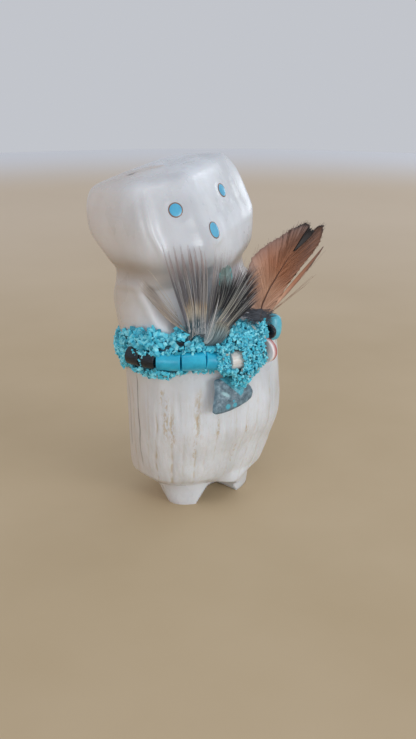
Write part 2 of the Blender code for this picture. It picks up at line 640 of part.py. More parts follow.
def build_stones(parts):
    """The stones at the far end: a shell disc and a jet disc threaded end on, and a turquoise nugget."""
    for name, size, place_at, kind in [
            ("oyster_disc", (OYSTER_DIAMETER, OYSTER_THICKNESS), OYSTER_PLACE, "oyster"),
            ("jet_disc", (JET_DISC_DIAMETER, JET_DISC_THICKNESS), JET_DISC_PLACE, "jet")]:
        angle, height, stand = place_at
        stone = disc(name, size[0], size[1], 16, parts, kind, 0.25 * PART)
        place(stone, at_height(angle, height, stand * PART), facing(along_waist(angle, height)))
    bm = bmesh.new()
    bmesh.ops.create_icosphere(bm, subdivisions=2, radius=0.5)
    draw = random.Random(7)
    for vert in bm.verts:
        vert.co *= draw.uniform(0.95, 1.03)
    bmesh.ops.scale(bm, vec=(NUGGET_THICKNESS, NUGGET_LENGTH, NUGGET_WIDTH), verts=bm.verts)
    nugget = add_object("turquoise_nugget", mesh_from(bm, "turquoise_nugget"), parts, "turquoise")
    angle, height, stand = NUGGET_PLACE
    place(nugget, at_height(angle, height, stand * PART), facing(along_waist(angle, height)))


def main():
    for obj in list(bpy.data.objects):
        bpy.data.objects.remove(obj)
    parts = bpy.data.collections.new("fetish_carving")
    cutters = bpy.data.collections.new("cutters")
    for collection in (parts, cutters):
        bpy.context.scene.collection.children.link(collection)
    figure = build_figure(parts)
    build_notch(figure, cutters)
    build_inlay("right_eye_inlay", RIGHT_EYE, EYE_DIAMETER, figure, parts, cutters)
    build_inlay("left_eye_inlay", LEFT_EYE, EYE_DIAMETER, figure, parts, cutters)
    build_inlay("mouth_inlay", MOUTH, MOUTH_DIAMETER, figure, parts, cutters)
    strand = Strand()
    shell_end = build_strand(strand, parts)
    chip_band("upper_chip_band", 1, UPPER_END, upper_top, parts, 3)
    chip_band("lower_chip_band", -1, LOWER_END, lower_foot, parts, 5)
    chip_heap(strand, shell_end, parts)
    build_sinew(parts)
    build_arrowhead(parts)
    build_stones(parts)
    build_feathers(parts)


main()
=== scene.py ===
"""The fetish carving as it looks: antler, inlays, beads, crushed turquoise, a knapped stone and feathers."""

import math
import random

import bmesh
import bpy
import numpy as np
from mathutils import Matrix, Vector, noise


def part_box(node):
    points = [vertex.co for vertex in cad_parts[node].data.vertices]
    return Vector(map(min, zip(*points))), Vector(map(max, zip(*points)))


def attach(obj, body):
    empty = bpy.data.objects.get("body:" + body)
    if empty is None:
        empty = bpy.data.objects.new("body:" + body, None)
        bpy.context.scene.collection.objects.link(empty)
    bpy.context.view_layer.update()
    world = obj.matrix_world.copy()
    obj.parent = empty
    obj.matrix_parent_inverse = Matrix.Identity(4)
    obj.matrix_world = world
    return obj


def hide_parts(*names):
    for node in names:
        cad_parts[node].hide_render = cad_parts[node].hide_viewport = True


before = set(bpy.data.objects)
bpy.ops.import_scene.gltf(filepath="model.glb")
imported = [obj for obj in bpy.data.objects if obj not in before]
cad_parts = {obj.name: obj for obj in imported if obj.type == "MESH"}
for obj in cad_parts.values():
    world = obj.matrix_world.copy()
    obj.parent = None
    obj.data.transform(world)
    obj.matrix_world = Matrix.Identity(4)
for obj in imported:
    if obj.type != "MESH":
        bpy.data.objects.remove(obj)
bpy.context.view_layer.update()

MM = 0.001

# Camera, at the photograph's angle
VIEW_AZIMUTH, VIEW_ELEVATION, VIEW_DISTANCE = -42, 20, 222.7 * MM
VIEW_AIM = Vector((1.8, -1.5, 25.8)) * MM
VIEW_LENS = 53.6

# The figure's sections, as its solid has them but with crisper corners to the head:
# level, centre x, centre y, half width, front depth, back depth, squareness, front bow
SECTIONS = np.array([
    (0, 1.5, -1.4, 9.2, 4.4, 4.6, 2.8, 1.6),
    (4.5, 0.9, -0.2, 11, 6, 6.4, 3, 1.6),
    (4.8, -0.1, 0.2, 11.3, 6.8, 7.6, 3.4, 1.6),
    (6.5, 0.4, -0.3, 13.7, 8.1, 9.1, 3.2, 2),
    (12, 0.5, -1, 15, 9.2, 10, 3, 2.4),
    (19, 0.6, -2, 15.9, 10.5, 11.1, 2.8, 2.6),
    (26, 0.7, -1.6, 16, 10.4, 11.2, 2.8, 2.8),
    (31, 0.6, -1.1, 16.2, 9.9, 11.1, 2.8, 2.8),
    (35, -0.1, -0.6, 15.6, 9.4, 11, 2.8, 2.8),
    (39.5, -1, 0.4, 15.2, 8.9, 10.9, 2.8, 2.8),
    (44, -1.7, 1.2, 14.7, 8.1, 10.6, 3, 3),
    (46.5, -1.9, 1.4, 15.1, 7.4, 9.8, 3.2, 3.6),
    (48.6, -1.9, 0.9, 16, 6.9, 9.2, 3.6, 4.4),
    (54, -2, 0.5, 16.4, 5.7, 9, 6, 5),
    (59, -3, 2, 16.3, 5.5, 9.4, 10, 5),
    (64.1, -3.9, 3.4, 15.3, 5, 8.8, 10, 4.7),
    (65.9, -4.3, 3.9, 14.3, 4.6, 8.3, 7, 4.4),
])
TOP_LEVEL = SECTIONS[-1, 0]
CROWN_RISE = 1.35
SKIRT_TURN, HEAD_TURN = -4, 12
LEAN_RIGHT, LEAN_BACK = 7, 5
RIDGE_AT, RIDGE_SOFTNESS, RIDGE_SHARE = -0.45, 0.16, 0.9
NECK_LEVEL, NECK_DEPTH, NECK_ABOVE, NECK_BELOW = 48.9, 1.5, 2.2, 3.8
# The neck's hollow is shallower on the figure's left
NECK_SHALLOW, NECK_SHALLOW_AT, NECK_SHALLOW_SPREAD = 0.85, 302, 55
# Level and angle of the shawl's edge on the figure's right
SHAWL_EDGE = [(36.5, 215), (39.1, 207.9), (40.8, 204), (43.5, 198.3), (46.3, 192), (48.7, 185.5), (52, 177)]
SHAWL_LOW, SHAWL_HIGH, SHAWL_LOW_HALF, SHAWL_HIGH_HALF = 36.5, 47.5, 10.9, 15.3
SHAWL_DEPTH, SHAWL_ROLL, SHAWL_GROOVE = 0.95, 0.5, 0.6
SKIRT_HOLLOWS = [
    (170, 9, 0.35), (207, 8, 0.3), (240, 9, 0.25), (282, 11, 0.3), (330, 13, 0.35), (20, 14, 0.3), (75, 16, 0.3),
    (125, 14, 0.3)]
NOTCH_CENTRE, NOTCH_END, NOTCH_HEIGHT = -0.6, -1.6, 4.6
NOTCH_HALF, NOTCH_TOP_HALF, NOTCH_ARCH = 5, 1.7, 1.2
FOOT_CORNER, FOOT_SPREAD, FOOT_REACH = 198, 22, 1.7
HEM_AT, HEM_SPREAD, HEM_REACH = 288, 26, 2.2
CHEST_RADIUS = 15
CROWN_PIT = (-11.85, 4.43, 66.2)
ARRIS = 198.6

AROUND = 430
RISE_STEP = 0.34
CROWN_RINGS = 20
RIM_PASSES = 24
BEAD_CLOSING = 0.75
MM_PER_DEGREE = 0.26

FLOOR_RADIUS = 0.46
# Distances over which the tan pales and turns to the grey of the room
FLOOR_PALES, FLOOR_FADE = (0.04, 0.3), (0.33, 0.46)
LIGHT_DISTANCE = 0.6
# Name, azimuth, elevation, size, power, colour
LIGHTS = [("key", 10, 11, 0.26, 0.95, (0.92, 0.97, 1)),
          ("fill", -60, 6, 0.26, 0.42, (0.96, 0.98, 1)),
          ("window", 88, 27, 0.06, 0.08, (0.9, 0.96, 1)),
          ("side", 100, 5, 0.12, 0.12, (0.9, 0.96, 1)),
          ("overhead", -32, 72, 0.2, 0.14, (1, 1, 1))]
WORLD_COLOUR, WORLD_STRENGTH = (0.9, 0.93, 1), 0.6


# Shape of the figure

def smooth(start, end, value):
    t = np.clip((np.asarray(value, float) - start) / (end - start), 0, 1)
    return t * t * (3 - 2 * t)


def bell(angle, centre, spread):
    away = (np.asarray(angle, float) - centre + 180) % 360 - 180
    return np.exp(-(away / spread) ** 2)


def read(table, place):
    """A value between the rows of a table of (place, value)."""
    return np.interp(place, *zip(*table))


def size_of(vectors):
    return np.linalg.norm(vectors, axis=-1)


def unit(vectors):
    return vectors / np.maximum(np.linalg.norm(vectors, axis=-1, keepdims=True), 1e-9)


def row_slopes():
    rise = np.diff(SECTIONS[:, 1:], axis=0) / np.diff(SECTIONS[:, 0])[:, None]
    both = rise[:-1] * rise[1:]
    total = np.where(both > 0, rise[:-1] + rise[1:], 1)
    inner = np.where(both > 0, 2 * both / total, 0)
    return np.vstack([rise[:1], inner, rise[-1:]])


SLOPES = row_slopes()


def section(level):
    levels = SECTIONS[:, 0]
    row = np.clip(np.searchsorted(levels, level) - 1, 0, len(levels) - 2)
    step = (levels[row + 1] - levels[row])[..., None]
    t = (level - levels[row])[..., None] / step
    low, high = SECTIONS[row, 1:], SECTIONS[row + 1, 1:]
    return (low * (2 * t ** 3 - 3 * t ** 2 + 1) + SLOPES[row] * step * (t ** 3 - 2 * t ** 2 + t)
            + high * (3 * t ** 2 - 2 * t ** 3) + SLOPES[row + 1] * step * (t ** 3 - t ** 2))


def shawl_line(angle, x, level):
    """How far inside the shawl's carved edge a place lies, and how much of the edge there is at its level."""
    share = (level - SHAWL_LOW) / (SHAWL_HIGH - SHAWL_LOW)
    half = SHAWL_LOW_HALF + (SHAWL_HIGH_HALF - SHAWL_LOW_HALF) * share
    fade = smooth(SHAWL_LOW - 1, SHAWL_LOW + 2, level) * (1 - smooth(SHAWL_HIGH - 1, SHAWL_HIGH + 2.5, level))
    right = smooth(0.05, 0.4, -np.sin(np.radians(angle)))
    inside = np.where(x < 0, MM_PER_DEGREE * (angle - read(SHAWL_EDGE, level)), half - x)
    return inside, fade * np.where(x < 0, 1, right)


def shawl_recess(angle, x, level):
    inside, fade = shawl_line(angle, x, level)
    roll = SHAWL_ROLL * np.exp(-((inside + 1.6) / 1.3) ** 2)
    groove = SHAWL_GROOVE * np.exp(-((inside - 0.5) / 0.55) ** 2)
    return (SHAWL_DEPTH * smooth(-0.7, 0.6, inside) + groove - roll) * fade


def skirt_recess(angle, level):
    fade = smooth(4, 9, level) * (1 - smooth(27, 31, level))
    return fade * sum(depth * bell(angle, centre, half) for centre, half, depth in SKIRT_HOLLOWS)


def figure(angle, level, share=1, rise=0, carved=False):
    """Points of the figure's surface in millimetres, for arrays of angles in degrees and of levels."""
    angle, level = np.broadcast_arrays(np.asarray(angle, float), np.asarray(level, float))
    cx, cy, half, front, rear, squareness, bow = np.moveaxis(section(level), -1, 0)
    c, s = np.cos(np.radians(angle)), np.sin(np.radians(angle))
    depth = np.where(s < 0, front, rear)
    reach = (np.abs(c / half) ** squareness + np.abs(s / depth) ** squareness) ** (-1 / squareness)
    x, y = reach * c, reach * s
    across = x / half - RIDGE_AT
    side = across / np.where(across > 0, 1 - RIDGE_AT, -1 - RIDGE_AT)
    edge = math.hypot(1, RIDGE_SOFTNESS) - RIDGE_SOFTNESS
    flats = 1 - (np.hypot(side, RIDGE_SOFTNESS) - RIDGE_SOFTNESS) / edge
    ridge = RIDGE_SHARE * smooth(43, 51, level)
    bowed = bow * ((1 - ridge) * (1 - (x / half) ** 2) + ridge * flats)
    y = np.where(s < 0, y - bowed * np.minimum(-y / depth, 1), y)
    if carved:
        inward = skirt_recess(angle, level) + shawl_recess(angle, x, level)
        shrink = 1 - inward / np.hypot(x, y)
        x, y = x * shrink, y * shrink
    x, y = x * share, y * share
    turn = np.radians(SKIRT_TURN + (HEAD_TURN - SKIRT_TURN) * smooth(20, 54, level))
    x, y = x * np.cos(turn) - y * np.sin(turn), x * np.sin(turn) + y * np.cos(turn)
    lean = smooth(30, 49, level)
    z = level + rise + x * np.tan(np.radians(LEAN_RIGHT * lean)) - y * np.tan(np.radians(LEAN_BACK * lean))
    if carved:
        away = (z - NECK_LEVEL) / np.where(z > NECK_LEVEL, NECK_ABOVE, NECK_BELOW)
        shallow = 1 - NECK_SHALLOW * bell(angle, NECK_SHALLOW_AT, NECK_SHALLOW_SPREAD)
        deep = NECK_DEPTH * shallow * np.exp(-away ** 2)
        pinch = np.where(np.asarray(share) > 0.999, 1 - deep / np.maximum(np.hypot(x, y), 1), 1)
        x, y = x * pinch, y * pinch
    return np.stack([cx + x, cy + y, z], -1)


def outward(angle, level):
    """Unit vectors at right angles to the plain surface."""
    along = figure(angle + 1, level) - figure(angle - 1, level)
    up = figure(angle, level + 0.3) - figure(angle, level - 0.3)
    return unit(np.cross(along, up))


def on_figure(angle, level, clear=0):
    """Points in millimetres that stand clear of the surface by so many millimetres."""
    angle, level, clear = np.broadcast_arrays(*(np.asarray(value, float) for value in (angle, level, clear)))
    return figure(angle, level) + outward(angle, level) * clear[..., None]


def at_height(angle, height, clear=0):
    """The same at a true height."""
    height = np.asarray(height, float)
    level = height + 0 * np.asarray(angle, float)
    for _ in range(6):
        level = level + height - on_figure(angle, level, clear)[..., 2]
    return on_figure(angle, level, clear)


# Meshes and materials

def mesh_object(name, verts, faces, material, smooth_shading=True, sharp=None):
    """An object from vertices in millimetres, with edges sharper than so many degrees left sharp."""
    mesh = bpy.data.meshes.new(name)
    mesh.from_pydata((np.asarray(verts) * MM).tolist(), [], [tuple(int(i) for i in f) for f in faces])
    mesh.validate()
    bm = bmesh.new()
    bm.from_mesh(mesh)
    bmesh.ops.recalc_face_normals(bm, faces=bm.faces)
    bm.to_mesh(mesh)
    bm.free()
    if smooth_shading:
        mesh.shade_smooth()
    if sharp:
        mesh.set_sharp_from_angle(angle=math.radians(sharp))
    mesh.materials.append(material)
    obj = bpy.data.objects.new(name, mesh)
    bpy.context.scene.collection.objects.link(obj)
    return obj


def attribute(obj, name, values, kind="FLOAT"):
    layer = obj.data.attributes.new(name, kind, "POINT")
    values = np.asarray(values, np.float32)
    if kind == "FLOAT_COLOR":
        values = np.column_stack([values, np.ones(len(values), np.float32)])
    layer.data.foreach_set("value" if kind == "FLOAT" else "color", values.ravel())


def belongs(piece, node):
    """The piece rides on the one body in place of its CAD node."""
    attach(piece, "root")
    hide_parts(node)


def grid_faces(rows, columns, closed=True):
    """Quads between rows of equally many vertices."""
    r, c = np.meshgrid(np.arange(rows - 1), np.arange(columns if closed else columns - 1), indexing="ij")
    here, there = r * columns + c, r * columns + (c + 1) % columns
    return np.stack([here, there, there + columns, here + columns], -1).reshape(-1, 4)


def tube_faces(rows, columns):
    """The same round closed rows, with a face over each end."""
    last = (rows - 1) * columns
    return [*grid_faces(rows, columns), range(columns)[::-1], range(last, last + columns)]


def linear(*screen):
    """A colour given as 0 to 255 on a screen, as the shader wants it."""
    return tuple(v / 12.92 if v <= 0.04045 else ((v + 0.055) / 1.055) ** 2.4 for v in (s / 255 for s in screen))


class Nodes:
    """Short names for the shader nodes that the materials use, with colours as 0 to 255 on a screen."""

    def __init__(self, name):
        self.material = bpy.data.materials.new(name)
        self.material.use_nodes = True
        self.tree = self.material.node_tree
        self.here = self.add("TexCoord").outputs["Object"]

    def add(self, kind, sockets=None, **settings):
        """A node with its sockets, by name or number, and its settings."""
        made = self.tree.nodes.new("ShaderNode" + kind)
        for key, value in settings.items():
            setattr(made, key, value)
        self.put(made, sockets or {})
        return made

    def put(self, node, sockets):
        for key, value in sockets.items():
            socket = node.inputs[key]
            if isinstance(value, bpy.types.NodeSocket):
                self.tree.links.new(value, socket)
            elif socket.type == "RGBA":
                socket.default_value = (*linear(*value), 1)
            else:
                socket.default_value = value

    def scaled(self, *scale):
        """The object's own coordinates in millimetres, stretched along each axis."""
        return self.add("Mapping", {"Vector": self.here, "Scale": [1000 * s for s in scale]}).outputs["Vector"]

    def noise(self, scale, detail=3, rough=0.5):
        return self.add("TexNoise", {"Vector": self.scaled(*scale), "Scale": 1, "Detail": detail,
                                     "Roughness": rough}).outputs["Fac"]

    def math(self, what, first, second, clamp=False):
        return self.add("Math", {0: first, 1: second}, operation=what, use_clamp=clamp).outputs[0]

    def times(self, first, second, clamp=False):
        return self.math("MULTIPLY", first, second, clamp)

    def between(self, value, low, high, start=0, end=1):
        """Value from low to high, smoothly mapped onto start to end."""
        return self.add("MapRange", dict(enumerate((value, low, high, start, end))),
                        interpolation_type="SMOOTHSTEP").outputs[0]

    def mix(self, share, first, second):
        return self.add("Mix", {0: share, 6: first, 7: second}, data_type="RGBA").outputs[2]

    def ramp(self, value, *stops):
        made = self.add("ValToRGB", {"Fac": value})
        points = made.color_ramp.elements
        while len(points) < len(stops):
            points.new(0.5)
        for point, (at, colour) in zip(points, stops):
            point.position = at
            point.color = (*linear(*colour), 1)
        return made.outputs["Color"]

    def attribute(self, name, out="Fac"):
        return self.add("Attribute", attribute_name=name).outputs[out]

    def distance(self, point):
        """How far a place lies from a point given in metres."""
        return self.add("VectorMath", {0: self.here, 1: tuple(point)}, operation="DISTANCE").outputs["Value"]

    def bump(self, height, strength, distance, under=None):
        made = self.add("Bump", {"Height": height, "Strength": strength, "Distance": distance * MM})
        if under is not None:
            self.put(made, {"Normal": under})
        return made.outputs["Normal"]

    def finish(self, colour, rough, normal=None, **settings):
        sockets = {"Base Color": colour, "Roughness": rough}
        if normal is not None:
            sockets["Normal"] = normal
        self.put(self.tree.nodes["Principled BSDF"],
                 sockets | {key.replace("_", " "): value for key, value in settings.items()})
        return self.material


def cylinder_of(node):
    """Centre, axis, length and radius in millimetres of a CAD node that is a short cylinder."""
    points = np.array([v.co[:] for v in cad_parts[node].data.vertices]) * 1000
    away = points - points.mean(0)
    values, vectors = np.linalg.eigh(away.T @ away)
    axis = vectors[:, 0 if values[1] - values[0] > values[2] - values[1] else 2]
    run = away @ axis
    return points.mean(0), axis, float(np.ptp(run)), float(size_of(away - run[:, None] * axis).max())


def lathe(name, centre, axis, profile, material, sides=48, wobble=0, seed=0):
    """A turned piece: profile rows are (along the axis, radius), closed at both ends."""
    level = unit(np.cross((0, 0, 1), axis))
    up = np.cross(axis, level)
    turn = np.linspace(0, 2 * np.pi, sides, endpoint=False)
    rows = []
    for along, radius in profile:
        uneven = [1 + wobble * noise.noise(Vector((2 * math.cos(t) + seed, 2 * math.sin(t), along))) for t in turn]
        ring = (np.cos(turn) * uneven)[:, None] * level + (np.sin(turn) * uneven)[:, None] * up
        rows.append(centre + along * axis + radius * ring)
    return mesh_object(name, np.concatenate(rows), tube_faces(len(profile), sides), material, sharp=50)


# Camera, floor and light

def look(azimuth, elevation):
    a, e = math.radians(azimuth), math.radians(elevation)
    return Vector((math.sin(a) * math.cos(e), -math.cos(a) * math.cos(e), math.sin(e)))


def build_stage():
    scene = bpy.context.scene
    scene.view_settings.view_transform = "Standard"
    camera = bpy.data.cameras.new("camera")
    camera.sensor_fit = "VERTICAL"
    camera.sensor_height = 36
    camera.lens = VIEW_LENS
    camera.clip_start = 0.005

    def aimed(name, data, azimuth, elevation, distance):
        """A camera or a light that looks at the part."""
        obj = bpy.data.objects.new(name, data)
        way = look(azimuth, elevation)
        obj.location = VIEW_AIM + way * distance
        obj.rotation_euler = (-way).to_track_quat("-Z", "Y").to_euler()
        scene.collection.objects.link(obj)
        return obj

    scene.camera = aimed("camera", camera, VIEW_AZIMUTH, VIEW_ELEVATION, VIEW_DISTANCE)
    for name, azimuth, elevation, size, power, colour in LIGHTS:
        light = bpy.data.lights.new(name, "AREA")
        light.shape = "DISK"
        light.size, light.energy, light.color = size, power, colour
        aimed(name, light, azimuth, elevation, LIGHT_DISTANCE)

    world = bpy.data.worlds.new("studio")
    world.use_nodes = True
    world.node_tree.nodes["Background"].inputs["Color"].default_value = (*WORLD_COLOUR, 1)
    world.node_tree.nodes["Background"].inputs["Strength"].default_value = WORLD_STRENGTH
    scene.world = world

    # a round table top, tan, that pales with distance and ends in the grey of the room
    floor = bpy.data.meshes.new("floor")
    rim = [(FLOOR_RADIUS * math.cos(a), FLOOR_RADIUS * math.sin(a), 0)
           for a in np.linspace(0, 2 * math.pi, 128, endpoint=False)]
    floor.from_pydata(rim, [], [tuple(range(len(rim)))])
    m = Nodes("floor_finish")
    near = m.ramp(m.noise((0.02, 0.02, 0.02), 4), (0.3, (202, 178, 141)), (0.7, (211, 188, 153)))
    away = m.distance((0, 0, 0))
    near = m.mix(m.between(away, *FLOOR_PALES, 0, 0.7), near, (232, 214, 192))
    far = m.between(away, *FLOOR_FADE)
    floor.materials.append(m.finish(m.mix(far, near, (240, 241, 245)), 0.7))
    ground = bpy.data.objects.new("floor", floor)
    scene.collection.objects.link(ground)


# The antler figure

def inlay(node):
    """The same as cylinder_of, with the axis pointing out of the figure."""
    centre, axis, length, radius = cylinder_of(node)
    return centre, axis * np.sign(axis[:2] @ centre[:2]), length, radius


INLAYS = {name: inlay(name) for name in ("right_eye_inlay", "left_eye_inlay", "mouth_inlay")}

# Weathered furrows of the skirt: angle at the foot and at the top, lower and upper level, half width in degrees,
# depth, and how much ochre lies in them
FURROWS = [
    (195.4, 196.2, 5.5, 21.5, 1, 0.38, 0.9), (207.6, 206.6, 5, 14, 1.9, 0.3, 0.8),
    (206.2, 206, 14, 24, 0.9, 0.12, 0.5), (222.4, 223.4, 5.5, 27, 1.1, 0.22, 0.7),
    (214.5, 213.5, 5, 17, 1.2, 0.14, 0.2), (229.5, 230.5, 6, 19, 1.2, 0.14, 0.2),
    (237.8, 238, 11, 23, 0.9, 0.12, 0.5), (247, 246, 5, 20, 1.4, 0.16, 0.1), (258, 257, 6, 23, 1.2, 0.16, 0.3),
    (272, 271, 6, 22, 1.2, 0.16, 0.5), (289, 287, 5, 26, 1.4, 0.2, 0.4), (304, 303, 6, 27, 1.2, 0.18, 0.6),
    (188, 188.5, 6, 25, 1.2, 0.16, 0.3), (169, 167, 6, 27, 1.2, 0.22, 0.5), (153, 151, 7, 26, 1.4, 0.24, 0.6),
    (134, 135, 6, 28, 1.6, 0.24, 0.7), (112, 113, 6, 24, 1.5, 0.22, 0.8), (93, 92, 8, 28, 1.6, 0.24, 0.5),
    (70, 72, 6, 26, 1.5, 0.24, 0.7), (47, 46, 9, 27, 1.6, 0.22, 0.8), (22, 24, 6, 25, 1.5, 0.24, 0.6),
    (357, 356, 7, 28, 1.6, 0.22, 0.5), (333, 335, 6, 26, 1.5, 0.2, 0.7)]
CRACKS = [
    (178.3, 175, 9, 28.5, 0.55, 1), (163.5, 162.5, 12, 26, 0.5, 0.5), (84, 82, 8, 24, 0.6, 0.9),
    (5, 7, 7, 20, 0.6, 0.8)]
# Patches of ochre pits: angle, level, half width in degrees, half height
PITTED = [
    (199.5, 25.5, 1.6, 1.6), (202.6, 21, 2.2, 4.2), (206.5, 18.5, 1.6, 3.5), (222.6, 22, 2.2, 4.5),
    (221.4, 14.5, 1.2, 3), (238, 19.5, 1.4, 2.5), (272, 17.5, 2.2, 1.6), (262, 12, 1.6, 2.5), (150, 18, 3, 4),
    (118, 14, 3, 4.5), (75, 19, 3, 4), (40, 15, 3, 4.5), (340, 17, 3, 4), (15, 24, 3, 3)]


def field(points, scale, seed=0):
    """Perlin noise at points in millimetres, with its own scale along each axis."""
    scaled = np.asarray(points).reshape(-1, 3) * np.asarray(scale) + seed
    return np.array([noise.noise(Vector(p)) for p in scaled.tolist()]).reshape(np.asarray(points).shape[:-1])


def stripe(angle, level, wander, foot, top, low, high, half):
    """One where an upright wandering line runs, nought away from it."""
    centre = foot + (top - foot) * (level - low) / (high - low)
    line = bell(angle + wander, centre, half) * smooth(low - 1, low + 1.5, level)
    return line * (1 - smooth(high - 2.5, high + 1.5, level))


def antler_relief(angle, level, points):
    """How far the surface lies in from the plain form, and where ochre, cracks and pits sit in it."""
    skirt = smooth(4.9, 6.5, level) * (1 - smooth(23, 30, level))
    grain = field(points, (1.3, 1.3, 0.09), 3)
    broad, middle = field(points, (0.16, 0.16, 0.1), 5), field(points, (0.45, 0.45, 0.2), 12)
    patchy = smooth(-0.3, 0.2, field(points, (1.6, 1.6, 0.5), 21))
    wander = 1.3 * field(points * (0, 0, 1) + angle[..., None] * 0.2, (1, 1, 0.25), 2)
    inward = 0.16 * broad + 0.05 * middle + skirt * (0.09 * np.clip(grain, 0, 1) + 0.1 * middle)
    stain, crack, pitted = np.zeros((3, *level.shape))
    for *place, half, depth, ochre in FURROWS:
        inward += 0.7 * depth * stripe(angle, level, wander, *place, half) * (0.3 + 0.7 * patchy)
        narrow = stripe(angle, level, wander, *place, 0.6 * half)
        stain = np.maximum(stain, ochre * narrow * (0.15 + 0.85 * patchy))
    for *place, half, strength in CRACKS:
        line = strength * stripe(angle, level, 0.7 * wander, *place, half)
        inward += 0.15 * line
        crack = np.maximum(crack, line)
    for centre, middle_level, half, tall in PITTED:
        patch = bell(angle + wander, centre, half) * np.exp(-((level - middle_level) / tall) ** 4)
        pitted = np.maximum(pitted, patch)
    # the head's front corner is a sharp arris with a shallow hollow beside it
    corner = smooth(51, 55, level) * (1 - smooth(63.5, 66, level))
    inward += corner * (0.25 * bell(angle, ARRIS + 3, 1.7) - 0.4 * bell(angle, ARRIS, 1.1))
    inward *= 1 - smooth(TOP_LEVEL - 1.2, TOP_LEVEL, level)
    return inward, stain, crack, pitted, skirt


def notch_recess(points, level):
    """Pushes the front of the feet back to form the notch between them."""
    height = np.clip(points[..., 2] / NOTCH_HEIGHT, 0, 1)
    half = NOTCH_HALF + (NOTCH_TOP_HALF - NOTCH_HALF) * height - NOTCH_ARCH * smooth(0.75, 1, height)
    inside = half - np.abs(points[..., 0] - NOTCH_CENTRE)
    amount = smooth(-0.12, 0.22, inside) * (level < NOTCH_HEIGHT) * (points[..., 1] < NOTCH_END)
    return amount[..., None] * (NOTCH_END - points[..., 1:2]) * (0, 1, 0)


def chest_groove_shade(angle, level):
    """Painted shade with some brown patina along the carved edge of the shawl: one along its foot, nought away from
    it.
    """
    inside, fade = shawl_line(angle, CHEST_RADIUS * np.cos(np.radians(angle)), level)
    return np.exp(-((inside - 0.35) / 0.8) ** 2) * fade


def about_inlay(points, centre, axis, radius):
    """How far places lie from an inlay's middle, and, in radii, from its axis."""
    away = points - centre
    return size_of(away), size_of(away - (away @ axis)[..., None] * axis) / radius


def build_figure():
    # the columns stand closer together on the side that the photograph shows
    every = np.arange(360)
    weight = 1 + 1.4 * smooth(130, 150, every) * (1 - smooth(290, 325, every))
    share = np.concatenate([[0], np.cumsum(weight)])
    angles = np.interp(np.arange(AROUND) / AROUND * share[-1], share, np.arange(361))
    levels = np.concatenate([np.linspace(0, 4.5, 14), [4.6, 4.7, 4.8, 4.95, 5.15, 5.35],
                             np.arange(5.6, TOP_LEVEL - 0.1, RISE_STEP), [TOP_LEVEL]])
    angle, level = np.meshgrid(angles, levels)
    plain = figure(angle, level, carved=True)
    inward, stain, crack, pitted, skirt = antler_relief(angle, level, plain)
    for centre, axis, length, radius in INLAYS.values():
        far, away = about_inlay(plain, centre, axis, radius)
        inward *= np.where(far < 5, smooth(1.1, 2.2, away), 1)
    body = plain - outward(angle, level) * inward[..., None]
    # one foot reaches out further at its front corner, and the other runs up into the hem
    reach = FOOT_REACH * bell(angle, FOOT_CORNER, FOOT_SPREAD) * (1 - smooth(0, 5.4, level))
    reach += HEM_REACH * bell(angle, HEM_AT, HEM_SPREAD) * smooth(1.5, 4.4, level) * (1 - smooth(4.6, 6.8, level))
    body += outward(angle, np.full_like(level, 10)) * reach[..., None]
    body += notch_recess(body, level)
    # a flat seat just under the face of each inlay
    for centre, axis, length, radius in INLAYS.values():
        far, away = about_inlay(body, centre, axis, radius)
        rise = length / 2 + 0.02 - (body - centre) @ axis
        body += axis * ((far < 4) * (1 - smooth(1.15, 1.9, away)) * rise)[..., None]
    shares = np.cos(np.linspace(0, math.pi / 2, CROWN_RINGS + 1))[1:] ** 0.8
    shares[-1] = 0.004
    crown_angle, crown_share = np.meshgrid(angles, shares)
    rise = CROWN_RISE * np.sqrt(1 - crown_share ** 3)
    crown = figure(crown_angle, np.full_like(crown_angle, TOP_LEVEL), crown_share, rise, carved=True)
    dents = 0.3 * field(crown, (0.22, 0.22, 0.22), 5) + 0.1 * field(crown, (0.8, 0.8, 0.8), 8)
    crown[..., 2] -= (dents + 0.08) * smooth(0, 0.35, 1 - crown_share)
    whole = np.concatenate([body, crown])
    rim = slice(len(levels) - 9, len(levels) + 9)
    for _ in range(RIM_PASSES):
        beside = whole[rim.start - 1:rim.stop - 1] + whole[rim.start + 1:rim.stop + 1]
        whole[rim] = 0.5 * whole[rim] + 0.25 * beside
    obj = mesh_object("antler_body", whole.reshape(-1, 3), tube_faces(len(whole), AROUND), antler_material())

    # masks for the finish, with what each is on the crown
    none = np.zeros_like(crown_angle)
    specks = size_of(crown - CROWN_PIT) + 0.7 * field(crown, (2, 2, 2), 9)
    for name, values, top in (("stain", stain, none), ("crack", crack, smooth(0.75, 0.35, specks)),
                              ("pitted", pitted, none), ("skirt", skirt, none - 0.2),
                              # painted shade with some brown patina along the shawl's carved groove
                              ("groove", chest_groove_shade(angle, level), none)):
        attribute(obj, name, np.concatenate([values, top]))
    angle, height = np.concatenate([angle, crown_angle]), whole[..., 2]
    # painted shade with some brown patina in the neck's crease, strongest on the side under the head's overhang
    neck = np.exp(-((height - NECK_LEVEL - 0.8) / 3.2) ** 2) * (np.concatenate([level, none + 99]) < 60)
    attribute(obj, "neck_shade_and_patina", neck * (0.2 + 0.8 * bell(angle, 180, 28)))
    # painted shade: the side turned away from the key light, made warmer and darker
    attribute(obj, "shaded_flank", bell(angle, 155, 38))
    attribute(obj, "shade", bell(angle, 211, 11) * smooth(50, 54, height) * (1 - smooth(62, 66, height)))
    belongs(obj, "antler_figure")


